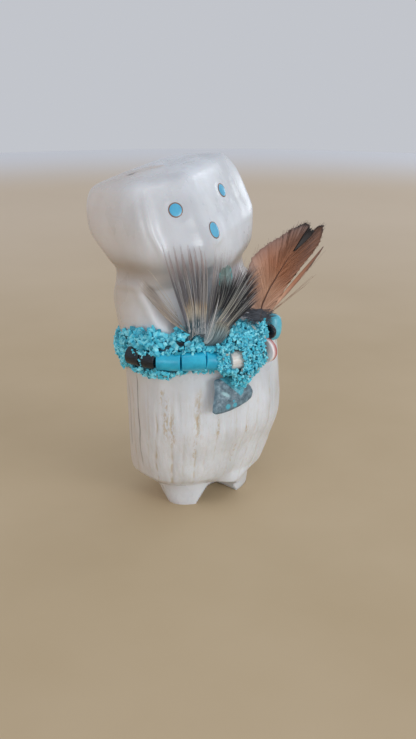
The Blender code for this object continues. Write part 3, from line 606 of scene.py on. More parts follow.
def antler_material():
    m = Nodes("antler_finish")
    streaks, clouds = m.noise((1.6, 1.6, 0.1), 4, 0.6), m.noise((0.12, 0.12, 0.07), 4, 0.55)
    specks, ripples = m.noise((5, 5, 1.2), 3, 0.6), m.noise((0.25, 0.25, 1.1))
    pores = m.noise((6, 6, 1.5), 4, 0.65)
    pits = m.times(m.between(m.noise((2.2, 2.2, 1), 3, 0.7), 0.46, 0.58), m.attribute("pitted"))
    skirt = m.attribute("skirt")
    colour = m.ramp(clouds, (0.3, (208, 211, 216)), (0.62, (232, 236, 242)))
    for share, tint in (
            (m.times(m.between(streaks, 0.5, 0.72, 0, 0.4), m.math("ADD", skirt, 0.2, True)), (212, 209, 203)),
            (m.times(m.between(streaks, 0.28, 0.44, 0.6, 0), skirt), (240, 243, 247)),
            (m.times(m.between(specks, 0.56, 0.72, 0, 0.35), skirt), (206, 198, 186)),
            # painted warm shade on the side turned away from the light
            (m.times(m.attribute("shaded_flank"), 0.5), (204, 176, 146)),
            (m.times(m.attribute("shade"), 0.6), (188, 190, 196)),
            # painted shade with some brown patina in the neck's crease
            (m.times(m.attribute("neck_shade_and_patina"), 0.62), (142, 120, 100)),
            # painted shade with some brown patina along the shawl's carved groove
            (m.times(m.attribute("groove"), 0.6), (150, 128, 110)),
            (m.times(m.attribute("stain"), 0.75, True), (196, 172, 130)),
            (m.times(pits, 0.65), (194, 168, 122)),
            (m.times(m.attribute("crack"), 0.9, True), (96, 80, 68))):
        colour = m.mix(share, colour, tint)
    rough = m.math("ADD", m.between(clouds, 0.3, 0.7, 0.24, 0.36), m.times(skirt, 0.14))
    normal = m.bump(m.times(streaks, skirt), 0.4, 0.1)
    normal = m.bump(ripples, 0.35, 0.12, normal)
    normal = m.bump(m.times(pores, m.math("ADD", skirt, 0.3)), 0.22, 0.05, normal)
    normal = m.bump(m.math("SUBTRACT", 1, pits), 0.5, 0.12, normal)
    return m.finish(colour, rough, normal, Coat_Weight=0.3, Coat_Roughness=0.2, Subsurface_Weight=0.06,
                    Subsurface_Scale=0.002)


# Inlays, beads and stones

BEADS = {name: cylinder_of(name) for name in (
    "jet_bead_01", "jet_bead_02", "turquoise_bead_01", "turquoise_bead_02", "turquoise_bead_03", "shell_bead",
    "jet_disc", "oyster_disc")}
STRAND_LEVEL, STRAND_SAG = 33.75, 0.95
BEAD_RADIUS = 1.875
BEAD_TOP = 0.3 + 2 * BEAD_RADIUS


def turquoise_material(name, deep, bright, rough, matrix=0, rim=None):
    m = Nodes(name)
    clouds, grain = m.noise((0.5, 0.5, 0.5), 4, 0.6), m.noise((4, 4, 4), 3, 0.6)
    colour = m.ramp(clouds, (0.32, deep), (0.66, bright))
    colour = m.mix(m.between(grain, 0.55, 0.8, 0, 0.2), colour, (130, 200, 220))
    if matrix:
        web = m.add("TexVoronoi", {"Vector": m.scaled(0.55, 0.55, 0.55), "Scale": 1}, feature="DISTANCE_TO_EDGE")
        colour = m.mix(m.between(web.outputs["Distance"], 0, 0.05, matrix, 0), colour, (70, 62, 52))
    if rim:
        centre, radius = rim
        edge = m.between(m.distance(centre * MM), 0.95 * radius * MM, 0.985 * radius * MM)
        colour = m.mix(edge, colour, (128, 100, 84))
    return m.finish(colour, rough, m.bump(grain, 0.12, 0.05), Coat_Weight=0.15, Coat_Roughness=0.2)


def jet_material():
    m = Nodes("jet_finish")
    scuffs = m.noise((1.2, 1.2, 3), 4, 0.6)
    colour = m.ramp(scuffs, (0.4, (14, 22, 30)), (0.75, (34, 44, 54)))
    return m.finish(colour, m.between(scuffs, 0.3, 0.7, 0.16, 0.38), m.bump(scuffs, 0.1, 0.05))


def shell_material():
    m = Nodes("shell_finish")
    layers = m.noise((0.4, 0.4, 2.4), 4, 0.6)
    colour = m.ramp(layers, (0.35, (214, 206, 200)), (0.65, (238, 234, 228)))
    return m.finish(colour, 0.38, m.bump(layers, 0.15, 0.05), Subsurface_Weight=0.05, Subsurface_Scale=0.001)


def oyster_material():
    """White and pink with one red edge."""
    m = Nodes("oyster_finish")
    cloud = m.noise((0.7, 0.7, 0.7), 4, 0.6)
    face = m.ramp(cloud, (0.35, (246, 232, 232)), (0.7, (252, 248, 248)))
    colour = m.mix(m.attribute("red"), face, m.ramp(cloud, (0.3, (176, 66, 62)), (0.7, (198, 112, 106))))
    return m.finish(colour, 0.25, m.bump(cloud, 0.1, 0.05), Coat_Weight=0.2)


def bead_profile(length, radius, rim):
    """Rows along the axis with rounded rims and a shallow drilled mouth at each end."""
    half = length / 2
    bend = [(half - rim * (1 - math.sin(a)), radius - rim * (1 - math.cos(a)))
            for a in np.linspace(0, math.pi / 2, 6)]
    upper = [(0, radius * 1.01)] + bend + [(half, 0.3 * radius), (half - 0.35, 0.24 * radius)]
    return [(-along, r) for along, r in reversed(upper[1:])] + upper


def build_beads():
    """The beads and the two discs, each with the finish that the first word of its node picks."""
    materials = {"turquoise": turquoise_material("turquoise_bead_finish", (24, 162, 198), (44, 192, 226), 0.35),
                 "jet": jet_material(), "shell": shell_material(), "oyster": oyster_material()}
    for node, (centre, axis, length, radius) in BEADS.items():
        slot_name, disc = node.split("_")[0], "disc" in node
        profile = bead_profile(length, radius, 0.22) if disc else bead_profile(length + BEAD_CLOSING, radius, 0.15)
        piece = lathe(node + "_polished", centre, axis, profile, materials[slot_name], wobble=0.012, seed=len(node))
        if slot_name == "oyster":
            away = np.array([v.co[:] for v in piece.data.vertices]) / MM - centre
            run = away @ axis
            edge = smooth(0.93 * radius, 0.97 * radius, size_of(away - run[:, None] * axis))
            attribute(piece, "red", edge * smooth(-0.2, 0.1, run * np.sign(axis[0])))
        belongs(piece, node)


def build_inlays():
    for node, (centre, axis, length, radius) in INLAYS.items():
        material = turquoise_material(node + "_finish", (74, 172, 214), (96, 190, 226), 0.25, rim=(centre, radius))
        half = length / 2 + 0.08
        profile = [(-half, radius * 0.9), (0, radius), (half - 0.08, radius), (half - 0.02, radius - 0.03),
                   (half + 0.01, radius - 0.12), (half + 0.03, radius * 0.5), (half + 0.04, radius * 0.05)]
        belongs(lathe(node + "_stone", centre, axis, profile, material), node)


def build_nugget():
    lo, hi = (np.array(corner) * 1000 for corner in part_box("turquoise_nugget"))
    bm = bmesh.new()
    bmesh.ops.create_icosphere(bm, subdivisions=4, radius=0.5)
    verts = np.array([tuple(v.co) for v in bm.verts])
    faces = [[v.index for v in f.verts] for f in bm.faces]
    bm.free()
    squared = np.sign(verts) * np.abs(verts * 2) ** 0.8 / 2
    bumps = 1 + 0.1 * field(squared, (2.2, 2.2, 2.2), 4) + 0.03 * field(squared, (7, 7, 7), 8)
    shaped = squared * bumps[:, None]
    shaped = (shaped - shaped.min(0)) / np.ptp(shaped, axis=0)
    material = turquoise_material("nugget_finish", (66, 176, 204), (116, 208, 224), 0.35, 0.2)
    piece = mesh_object("turquoise_nugget_polished", lo + shaped * (hi - lo), faces, material)
    belongs(piece, "turquoise_nugget")


# Crushed stone

# Edges of the crushed stone: angle, level
UPPER_EDGE = [
    (142, 36.2), (162.5, 36.6), (170, 38), (180, 38.7), (190, 39), (196, 39.5), (202, 38.9), (206, 37.7),
    (210, 39.6), (214, 39.6), (217, 38.1), (221, 37.1), (228, 36.3), (235, 37.6), (243, 38.4), (254, 38.9),
    (266, 38.1), (284, 37.4), (292, 36.6)]
LOWER_EDGE = [
    (142, 29.2), (161, 29.3), (172, 30.3), (180, 30.7), (187, 30.1), (195, 29.7), (204, 29.9), (210, 30.9),
    (216, 31.3), (229, 31), (235, 30.6), (241, 29.8), (243, 28.5), (249, 27.5), (255, 27.7), (260, 28.7),
    (267, 29.4), (277, 29.8), (284, 30.4), (289, 31.4)]
# Places where the dark sinew shows between the chips: angle, level, half width in degrees, half height
BARE = [(210.8, 36.9, 2.6, 0.45), (216, 37.5, 2.4, 0.5), (228.5, 36.6, 4.5, 0.35)]
# Level of the strand's line on the plain end, stand-off of the heap, and angle of the gap between the jet beads
PLAIN_LEVEL, HEAP_STAND, JET_GAP = 33.7, 4.6, 192.6
# Angles and levels between which the beds of the bands and of the heap lie
BAND_START, UPPER_END, LOWER_END, HEAP_START, HEAP_END = 144, 291, 286, 257, 276
HEAP_LOW, HEAP_HIGH = 30.6, 36.4
BED_COLUMNS = 120


class Shapes:
    """Collects small solids with their tints into one mesh."""

    def __init__(self):
        self.verts, self.faces, self.tints, self.count = [], [], [], 0

    def add(self, verts, faces, tint):
        self.verts.append(np.asarray(verts))
        self.faces.extend((np.asarray(f) + self.count).tolist() for f in faces)
        self.tints.append(np.broadcast_to(np.asarray(tint, float), (len(verts), 3)))
        self.count += len(verts)

    def strand(self, points, widths, normal, colours, thick=0.3):
        """A slender three-sided solid along points, such as a barb or a fibre."""
        widths = np.asarray(widths)[:, None]
        run = np.gradient(points, axis=0)
        side = unit(np.cross(run, np.broadcast_to(normal, points.shape)))
        out = unit(np.cross(side, run))
        rings = np.stack([points - side * widths / 2, points + side * widths / 2, points + out * widths * thick], 1)
        self.add(rings.reshape(-1, 3), tube_faces(len(points), 3), np.repeat(colours, 3, axis=0))

    def slab(self, front, out, thickness, tints):
        """A closed thin piece over a grid of points."""
        rows, columns = front.shape[:2]
        count = rows * columns
        quads = grid_faces(rows, columns, closed=False)
        loop = np.concatenate([np.arange(columns), np.arange(2, rows + 1) * columns - 1,
                               count - 1 - np.arange(1, columns), np.arange(rows - 2, 0, -1) * columns])
        after = np.roll(loop, -1)
        sides = np.stack([loop + count, after + count, after, loop], -1)
        verts = np.concatenate([front.reshape(-1, 3), (front - out * thickness).reshape(-1, 3)])
        faces = np.concatenate([quads, quads[:, ::-1] + count, sides])
        self.add(verts, faces, np.tile(tints.reshape(-1, 3), (2, 1)))

    def build(self, name, material, node, slot_name, smooth_shading=True):
        obj = mesh_object(name, np.concatenate(self.verts), self.faces, material, smooth_shading)
        attribute(obj, "tint", np.concatenate(self.tints), "FLOAT_COLOR")
        belongs(obj, node)


def chip_shapes(seed, count):
    """Angular chips about one unit long, as convex solids."""
    draw = random.Random(seed)
    shapes = []
    for _ in range(count):
        bm = bmesh.new()
        squash = (0.5, draw.uniform(0.3, 0.46), draw.uniform(0.18, 0.36))
        for _ in range(draw.randint(7, 11)):
            p = Vector([draw.gauss(0, 1) for _ in range(3)]).normalized()
            bm.verts.new([c * s * draw.uniform(0.85, 1.1) for c, s in zip(p, squash)])
        made = bmesh.ops.convex_hull(bm, input=bm.verts)
        bmesh.ops.delete(bm, geom=list(set(made["geom_interior"] + made["geom_unused"])), context="VERTS")
        bm.verts.index_update()
        shapes.append((np.array([tuple(v.co) for v in bm.verts]), [[v.index for v in f.verts] for f in bm.faces]))
        bm.free()
    return shapes


CHIPS = chip_shapes(5, 36)


def in_a_bead(point, room):
    """Whether a point lies in a bead or nearer to it than the room asked for."""
    for centre, axis, length, radius in BEADS.values():
        away = point - centre
        along = away @ axis
        if abs(along) < length / 2 + 0.2 * room and np.linalg.norm(away - along * axis) < radius + room:
            return True
    return False


def strand_height(angle):
    """Level of the beads' middle: it sags past the last turquoise bead."""
    return STRAND_LEVEL - STRAND_SAG * (smooth(220, 248, angle) - 0.42 * smooth(250, 266, angle))


def chip_tint(draw, plain=False):
    """Mostly bright turquoise, some paler or deeper, and a few grey unless plain."""
    kind, lit = draw.random(), draw.uniform(0.96, 1.12)
    if not plain and kind < 0.02:
        return linear(190, 190, 182)
    # the paler tints stand partly for painted highlights on facets turned to the light and the deeper ones for
    # painted shade on facets turned away, besides the stone's own varied tone
    tint = (134, 224, 238) if kind < 0.34 else (40, 142, 164) if kind < 0.48 else (80, 196, 218)
    return linear(*(lit * channel for channel in tint))


def put_chip(heap, draw, point, outer, size, plain=False):
    """A chip at a point, turned at random but lying rather flat to the outer direction."""
    tint = chip_tint(draw, plain)
    verts, faces = CHIPS[draw.randrange(len(CHIPS))]
    tilt = Vector(outer) + Vector([draw.gauss(0, 0.6) for _ in range(3)])
    turned = tilt.to_track_quat("Z", "Y").to_matrix() @ Matrix.Rotation(draw.uniform(0, 2 * math.pi), 3, "Z")
    stretch = np.array([draw.uniform(0.85, 1.2), draw.uniform(0.8, 1.15), draw.uniform(0.8, 1.3)])
    heap.add(point + (verts * stretch * size) @ np.array(turned).T, faces, tint)


def band_bed(heap, angles, low_edge, high_edge, stand, share_of_stand, seed):
    """The dark bed that the chips sit in, as a closed lumpy sheet on the antler."""
    levels = [low_edge + (high_edge - low_edge) * share for share in np.linspace(0, 1, 10)]
    rows = np.array([on_figure(angles, level, share_of_stand * stand(angles, level)) for level in levels])
    rows += 0.12 * field(rows, (1.2, 1.2, 1.2), seed)[..., None] * outward(angles, low_edge)
    rings = np.concatenate([rows, [on_figure(angles, edge, -0.05) for edge in (high_edge, low_edge)]])
    count, around = rings.shape[:2]
    faces = [*grid_faces(around, count), range(count), range(count * (around - 1), count * around)[::-1]]
    heap.add(rings.transpose(1, 0, 2).reshape(-1, 3), faces, linear(18, 78, 96))


def beaded(angle):
    """Nought on the plain end of the band, one where it carries beads."""
    return smooth(178, 184, angle)


def beside_beads(angle, gap):
    """Level of an edge so far above the beads' middle, which runs level on the plain end."""
    return (strand_height(angle) + gap) * beaded(angle) + PLAIN_LEVEL * (1 - beaded(angle))


def upper_foot(angle):
    return beside_beads(angle, 1.75)


def lower_head(angle):
    return beside_beads(angle, -1.6)


def upper_edge(angle):
    return read(UPPER_EDGE, angle)


def lower_edge(angle):
    return read(LOWER_EDGE, angle)


def upper_stand(angle, level):
    """How far the stone stands off above the beads: it slopes from the beads to its upper edge."""
    low, high = upper_foot(angle), upper_edge(angle)
    share = np.clip((level - low) / np.maximum(high - low, 0.5), 0, 1)
    return (1.1 + 2.1 * beaded(angle) + 0.9 * bell(angle, 262, 20)) * np.sqrt(1 - 0.93 * share ** 1.5)


def lower_stand(angle, level):
    """The same below the beads, where it bulges out again over the arrowhead."""
    low, high = lower_edge(angle), lower_head(angle)
    share = np.clip((high - level) / np.maximum(high - low, 0.5), 0, 1)
    lift = 1.9 * np.clip(4 * bell(angle, 249, 13), 0, 1) * smooth(0.1, 0.5, share)
    deep = 1.1 + 1.9 * beaded(angle) + 0.9 * bell(angle, 265, 18)
    return np.maximum(deep * np.sqrt(1 - 0.93 * share ** 1.5), 0.3) + lift


def heap_stand(angle, level):
    share = (level - strand_height(angle)) / HEAP_STAND
    return HEAP_STAND * np.sqrt(np.clip(1 - 0.75 * share ** 2, 0.05, 1))


def scatter(heap, draw, count, first, last, low, high, stand, sizes, room=0.12, jitter=0.25, plain=False):
    """Strews chips between two edges at a stand-off, clear of the beads and of the bare places."""
    for _ in range(count):
        angle = draw.uniform(first, last)
        bottom, top = float(low(angle)), float(high(angle))
        level = draw.uniform(bottom, top)
        if draw.random() < 0.25:
            level = draw.choice((bottom, top)) + draw.gauss(0, 0.25)
        size = draw.uniform(*sizes)
        clear = float(stand(angle, level)) + draw.uniform(-jitter, jitter)
        if any(abs(angle - a) < wide and abs(level - l) < tall for a, l, wide, tall in BARE):
            continue
        point = on_figure(angle, level, clear)
        if not in_a_bead(point, room + 0.25 * size):
            put_chip(heap, draw, point, outward(angle, level), size, plain)


def build_chips():
    draw = random.Random(41)
    upper, lower, heap = Shapes(), Shapes(), Shapes()
    angles = np.linspace(BAND_START, UPPER_END, BED_COLUMNS)
    band_bed(upper, angles, upper_foot(angles), upper_edge(angles) - 0.5, upper_stand, 0.75, 3)
    angles = np.linspace(BAND_START, LOWER_END, BED_COLUMNS)
    band_bed(lower, angles, lower_edge(angles) + 0.5, lower_head(angles), lower_stand, 0.75, 4)
    angles = np.linspace(HEAP_START, HEAP_END, BED_COLUMNS // 3)
    band_bed(heap, angles, 0 * angles + HEAP_LOW, 0 * angles + 36.2, heap_stand, 0.85, 5)

    above, below = (upper_foot, upper_edge, upper_stand), (lower_edge, lower_head, lower_stand)
    scatter(upper, draw, 240, 143, 186, *above, (1, 2), plain=True)
    scatter(upper, draw, 420, 184, 230, *above, (1, 2), plain=True)
    scatter(upper, draw, 520, 228, 292, *above, (0.7, 1.3))
    scatter(lower, draw, 230, 143, 186, *below, (1, 1.8), plain=True)
    scatter(lower, draw, 330, 184, 236, *below, (0.8, 1.4), plain=True)
    scatter(lower, draw, 420, 234, 287, *below, (0.6, 1.1))
    scatter(heap, draw, 360, 253, HEAP_END, lambda a: 30.8, lambda a: HEAP_HIGH, heap_stand, (0.6, 1.1), 0, 0.3)
    # round the shell bead, and over the far end of the last turquoise bead
    scatter(heap, draw, 200, 248.5, 255, lambda a: HEAP_LOW, lambda a: HEAP_HIGH, heap_stand, (0.55, 1), -0.2, 0.25)
    scatter(heap, draw, 170, 229.5, 237, lambda a: strand_height(a) - 2.2, lambda a: strand_height(a) + 2.2,
            lambda a, l: 4.1, (0.55, 0.95), -0.25, 0.2)
    # over the near half of the jet disc
    scatter(heap, draw, 60, 274.5, 281.5, lambda a: 34.9, lambda a: 37.2, lambda a, l: 4.9, (0.6, 1), -3, 0.3)
    # over the upper rims of the beads, and between the jet beads
    scatter(upper, draw, 60, 185, 230, lambda a: strand_height(a) + 1.55, lambda a: strand_height(a) + 2.1,
            lambda a, l: 3.35, (0.7, 1.2), -0.35, 0.3, True)
    for level in (35.6, 35, 34.5, 33.9, 33.3, 32.8):
        point = on_figure(JET_GAP + draw.uniform(-0.9, 0.9), level, BEAD_TOP - 0.25 * abs(level - 33.8))
        put_chip(upper, draw, point, outward(JET_GAP, level), draw.uniform(0.6, 0.95), True)
    for angle, level in ((187.5, 35.3), (189, 35), (190, 35.6), (197.5, 35.5)):
        put_chip(upper, draw, on_figure(angle, level, BEAD_TOP - 0.5), outward(angle, level), 0.8, True)
    for name, shapes, node in (("upper_crushed_stone", upper, "upper_chip_band"),
                               ("lower_crushed_stone", lower, "lower_chip_band"),
                               ("heaped_crushed_stone", heap, "chip_heap")):
        shapes.build(name, chip_material(name + "_finish"), node, "turquoise_chips", smooth_shading=False)


def chip_material(name):
    m = Nodes(name)
    grain, fine = m.noise((2.5, 2.5, 2.5), 3, 0.6), m.noise((9, 9, 9), 2)
    colour = m.mix(m.between(grain, 0.35, 0.7, 0, 0.2), m.attribute("tint", "Color"), (120, 208, 226))
    return m.finish(colour, m.between(fine, 0.3, 0.7, 0.22, 0.45), m.bump(fine, 0.2, 0.05))


# The arrowhead

ARROWHEAD_OUTLINE = [
    (-0.52, 0.34), (-0.53, 0.05), (-0.61, -0.26), (-0.64, -0.41), (-0.57, -0.48), (-0.41, -0.49), (-0.2, -0.47),
    (0.01, -0.42), (0.21, -0.35), (0.33, -0.27), (0.38, -0.13), (0.34, -0.01), (0.28, 0.08), (0.36, 0.22),
    (0.2, 0.34), (-0.1, 0.36)]
ARROWHEAD_WIDTH, ARROWHEAD_LENGTH, ARROWHEAD_THICKNESS = 9.4, 8, 1.4
ARROWHEAD_ANGLE, ARROWHEAD_LEVEL = 252, 26.7
# Turquoise that runs through the stone, in millimetres on its face: three edges of a wedge, each as the direction
# it faces and a place on it, and three spots with their sizes
BLUE_WEDGE = [(0.71, 0.7, -3.4, 2.56), (-0.97, 0.23, 1.03, -0.8), (-0.58, 0.81, 0.39, -1.26)]
BLUE_SPOTS = [(-2.62, -2.82, 0.52), (-1, -2.8, 0.46), (-1.3, -1.95, 0.22)]


def plane_of(normal, roll=0):
    """Unit vectors across, along and out of a flat piece that faces a direction."""
    z = Vector(normal).normalized()
    x = Vector((0, 0, 1)).cross(z).normalized()
    turned = Matrix((x, z.cross(x), z)).transposed() @ Matrix.Rotation(math.radians(roll), 3, "Z")
    return [np.array(turned.col[i]) for i in range(3)]


def build_arrowhead():
    """A knapped point: a lens in section, with flake scars that leave ripples and a sharp edge."""
    normal = outward(ARROWHEAD_ANGLE, ARROWHEAD_LEVEL) + np.array([0, 0, 0.08])
    across, along, out = plane_of(normal)
    base = on_figure(ARROWHEAD_ANGLE, ARROWHEAD_LEVEL, 0.3 + ARROWHEAD_THICKNESS / 2 + 0.1)
    corners = np.array(ARROWHEAD_OUTLINE) * (ARROWHEAD_WIDTH, ARROWHEAD_LENGTH)
    closed = np.vstack([corners, corners[:1]])
    run = np.concatenate([[0], np.cumsum(np.linalg.norm(np.diff(closed, axis=0), axis=1))])
    around, rings = 160, 44
    at = np.linspace(0, run[-1], around, endpoint=False)
    rim = np.stack([np.interp(at, run, closed[:, i]) for i in (0, 1)], -1)
    for _ in range(2):
        rim = 0.5 * rim + 0.25 * (np.roll(rim, 1, 0) + np.roll(rim, -1, 0))
    middle = np.array([-0.9, -0.3])
    draw = random.Random(8)
    scars = [(draw.uniform(-5.5, 3.5), draw.uniform(-3.6, 3.2), draw.uniform(1, 2)) for _ in range(26)]
    sheets = []
    for side in (1, -1):
        for r in (np.linspace(0.02, 1, rings) if side > 0 else np.linspace(0.97, 0.02, rings - 1)):
            flat = middle + (rim - middle) * r
            thick = ARROWHEAD_THICKNESS / 2 * (1 - r ** 4) ** 0.8
            relief = np.zeros(around)
            for x, y, size in scars:
                away = np.hypot(flat[:, 0] - x, flat[:, 1] - y) / size
                relief = np.minimum(relief, -0.16 * np.clip(1 - away ** 2, 0, 1) ** 0.5)
            nicks = 0.05 * np.array([noise.noise(Vector((p[0] * 2, p[1] * 2, 3 * side))) for p in flat])
            height = np.maximum(thick + (relief + nicks) * min(1, 4 * (1 - r)), 0.02)
            sheets.append(np.column_stack([flat, side * height]))
    local = np.concatenate(sheets)
    faces = [face[::-1] for face in tube_faces(2 * rings - 1, around)]
    verts = base + local[:, :1] * across + local[:, 1:2] * along + local[:, 2:] * out
    piece = mesh_object("knapped_arrowhead", verts, faces, arrowhead_material(), sharp=28)
    x, y = local[:, 0], local[:, 1]
    blue = 1
    for facing_x, facing_y, edge_x, edge_y in BLUE_WEDGE:
        blue = blue * smooth(-0.12, 0.12, facing_x * (x - edge_x) + facing_y * (y - edge_y))
    for spot_x, spot_y, size in BLUE_SPOTS:
        blue = np.maximum(blue, smooth(1.2, 0.8, np.hypot(x - spot_x, y - spot_y) / size))
    pale = smooth(1.3, 0.5, np.hypot(x + 2.92 + 0.6 * (y + 0.4), 1.5 * (y + 0.4) + 0.5 * (x + 2.92)) / 0.7)
    attribute(piece, "blue", blue * (local[:, 2] > 0))
    attribute(piece, "pale", pale * (local[:, 2] > 0))
    belongs(piece, "arrowhead")


def arrowhead_material():
    m = Nodes("arrowhead_finish")
    cloud, fine = m.noise((0.9, 0.9, 0.9), 5, 0.65), m.noise((6, 6, 6), 3, 0.6)
    colour = m.ramp(cloud, (0.3, (60, 82, 96)), (0.52, (104, 130, 144)), (0.72, (148, 174, 188)))
    colour = m.mix(m.between(fine, 0.55, 0.75, 0, 0.4), colour, (128, 152, 158))
    colour = m.mix(m.attribute("pale"), colour, (160, 200, 208))
    colour = m.mix(m.attribute("blue"), colour, m.ramp(fine, (0.3, (60, 160, 186)), (0.7, (104, 196, 214))))
    return m.finish(colour, m.between(fine, 0.3, 0.7, 0.22, 0.45), m.bump(fine, 0.25, 0.05))


# Feathers and sinew

SINEW_HEIGHT, SINEW_STEPS = 37.1, 90


def barb_material(name, rough=0.55):
    m = Nodes(name)
    fine = m.noise((7, 7, 7), 3, 0.6)
    colour = m.mix(m.between(fine, 0.3, 0.7, 0, 0.18), m.attribute("tint", "Color"), (60, 52, 50))
    return m.finish(colour, m.between(fine, 0.3, 0.7, rough - 0.1, rough + 0.1), m.bump(fine, 0.1, 0.02))


def blend(stops, t):
    """Colours along a barb from (share, colour) stops."""
    at, colours = zip(*stops)
    return np.stack([np.interp(t, at, channel) for channel in zip(*colours)], -1)


def along_line(corners, share):
    """Points at shares of the way along a line whose corners count as evenly spaced."""
    at = np.linspace(0, 1, len(corners))
    return np.stack([np.interp(share, at, ordinate) for ordinate in zip(*corners)], -1)


# Lines that the speckled feather's barbs follow, from foot to tip: angle, level, stand-off
LINE_AT = (0, 0.36, 0.66, 1)
# The way the barbs' flat sides face
FAN_FACING = np.array([-0.45, -0.86, 0.25])
FAN_LINES = [
    [(214.8, 38.2, 2.6), (210.8, 43.7, 2.4), (202.6, 49.5, 2.2), (199.2, 55.9, 1.7)],
    [(218.4, 39.2, 2.8), (216.6, 45.1, 2.6), (208.3, 50.1, 2.2), (204.6, 55.1, 1.9)],
    [(224.4, 38.8, 3.2), (226.2, 43.6, 2.8), (217.1, 49.4, 2.3), (211.6, 54.2, 2)],
    [(226.1, 39.5, 3.5), (228, 43.7, 3), (219.9, 49.3, 2.4), (216, 54.1, 2)],
    [(229.6, 40.6, 3.7), (239.4, 43.2, 3.2), (242, 47.4, 2.6), (248, 51.8, 2.1)],
    [(233.3, 39.7, 3.6), (252, 42.9, 4.1), (274, 45.4, 4.5), (299, 48, 4.7)],
    [(240, 37.8, 3.4), (252, 39.3, 4.1), (264.4, 40.2, 4.6), (281, 40.9, 4.9)]]
WISP_LINES = [
    [(213, 39.2, 2.4), (203, 42.5, 1.7), (196, 45.8, 1.3), (190, 47.8, 1)],
    [(212, 40, 2.4), (200, 45, 1.6), (191, 48.4, 1.2), (185, 50.6, 0.9)],
    [(209, 43, 2.3), (203, 47.2, 1.8), (197, 50.4, 1.4), (193, 52.6, 1.2)]]
DOWN_LINES = [
    [(223, 36.4, 3.5), (226, 37.6, 3.7), (228.5, 38.7, 3.8), (231.4, 40, 3.8)],
    [(225, 36.2, 3.5), (229, 37.4, 3.7), (232, 38.8, 3.8), (235.3, 40, 3.8)],
    [(228, 36.1, 3.5), (233, 37.2, 3.7), (237, 38.2, 3.7), (240.3, 39, 3.7)],
    [(231, 36, 3.5), (236, 36.6, 3.6), (239.5, 37.2, 3.6), (242.3, 37.6, 3.6)]]
SHAFT_LINES = [
    [(222, 36.8, 3.7), (224.4, 39.2, 3.8), (228.4, 42, 3.8), (232.5, 44.9, 3.6)],
    [(224.5, 36.6, 3.7), (230, 38.6, 3.9), (233.6, 41.2, 3.8), (234.6, 44.5, 3.6)]]
# Tufts of the left half, as places between the lines
TUFTS = (0.02, 0.24, 0.54, 0.84, 1.23, 1.49, 1.8, 1.98)
# How many barbs or fibres each part has
LEFT_BARBS, RIGHT_BARBS, SHAFT_FIBRES, TEAL_BARBS = 230, 330, 22, 150


CORNERS = [np.array([[on_figure(*spot) for spot in line] for line in lines])
           for lines in (FAN_LINES, WISP_LINES, DOWN_LINES, SHAFT_LINES)]


def ruled(corners, place, t):
    """Points in millimetres on the surface that smooth curves through the corners of each line span."""
    place = np.clip(place + 0 * t, 0, len(corners) - 1.001)
    first = place.astype(int)
    share = (place - first)[:, None, None]
    spots = corners[first] * (1 - share) + corners[first + 1] * share
    weights = [np.prod([(t - other) / (at - other) for other in LINE_AT if other != at], axis=0) for at in LINE_AT]
    return sum(w[:, None] * spots[:, i] for i, w in enumerate(weights))


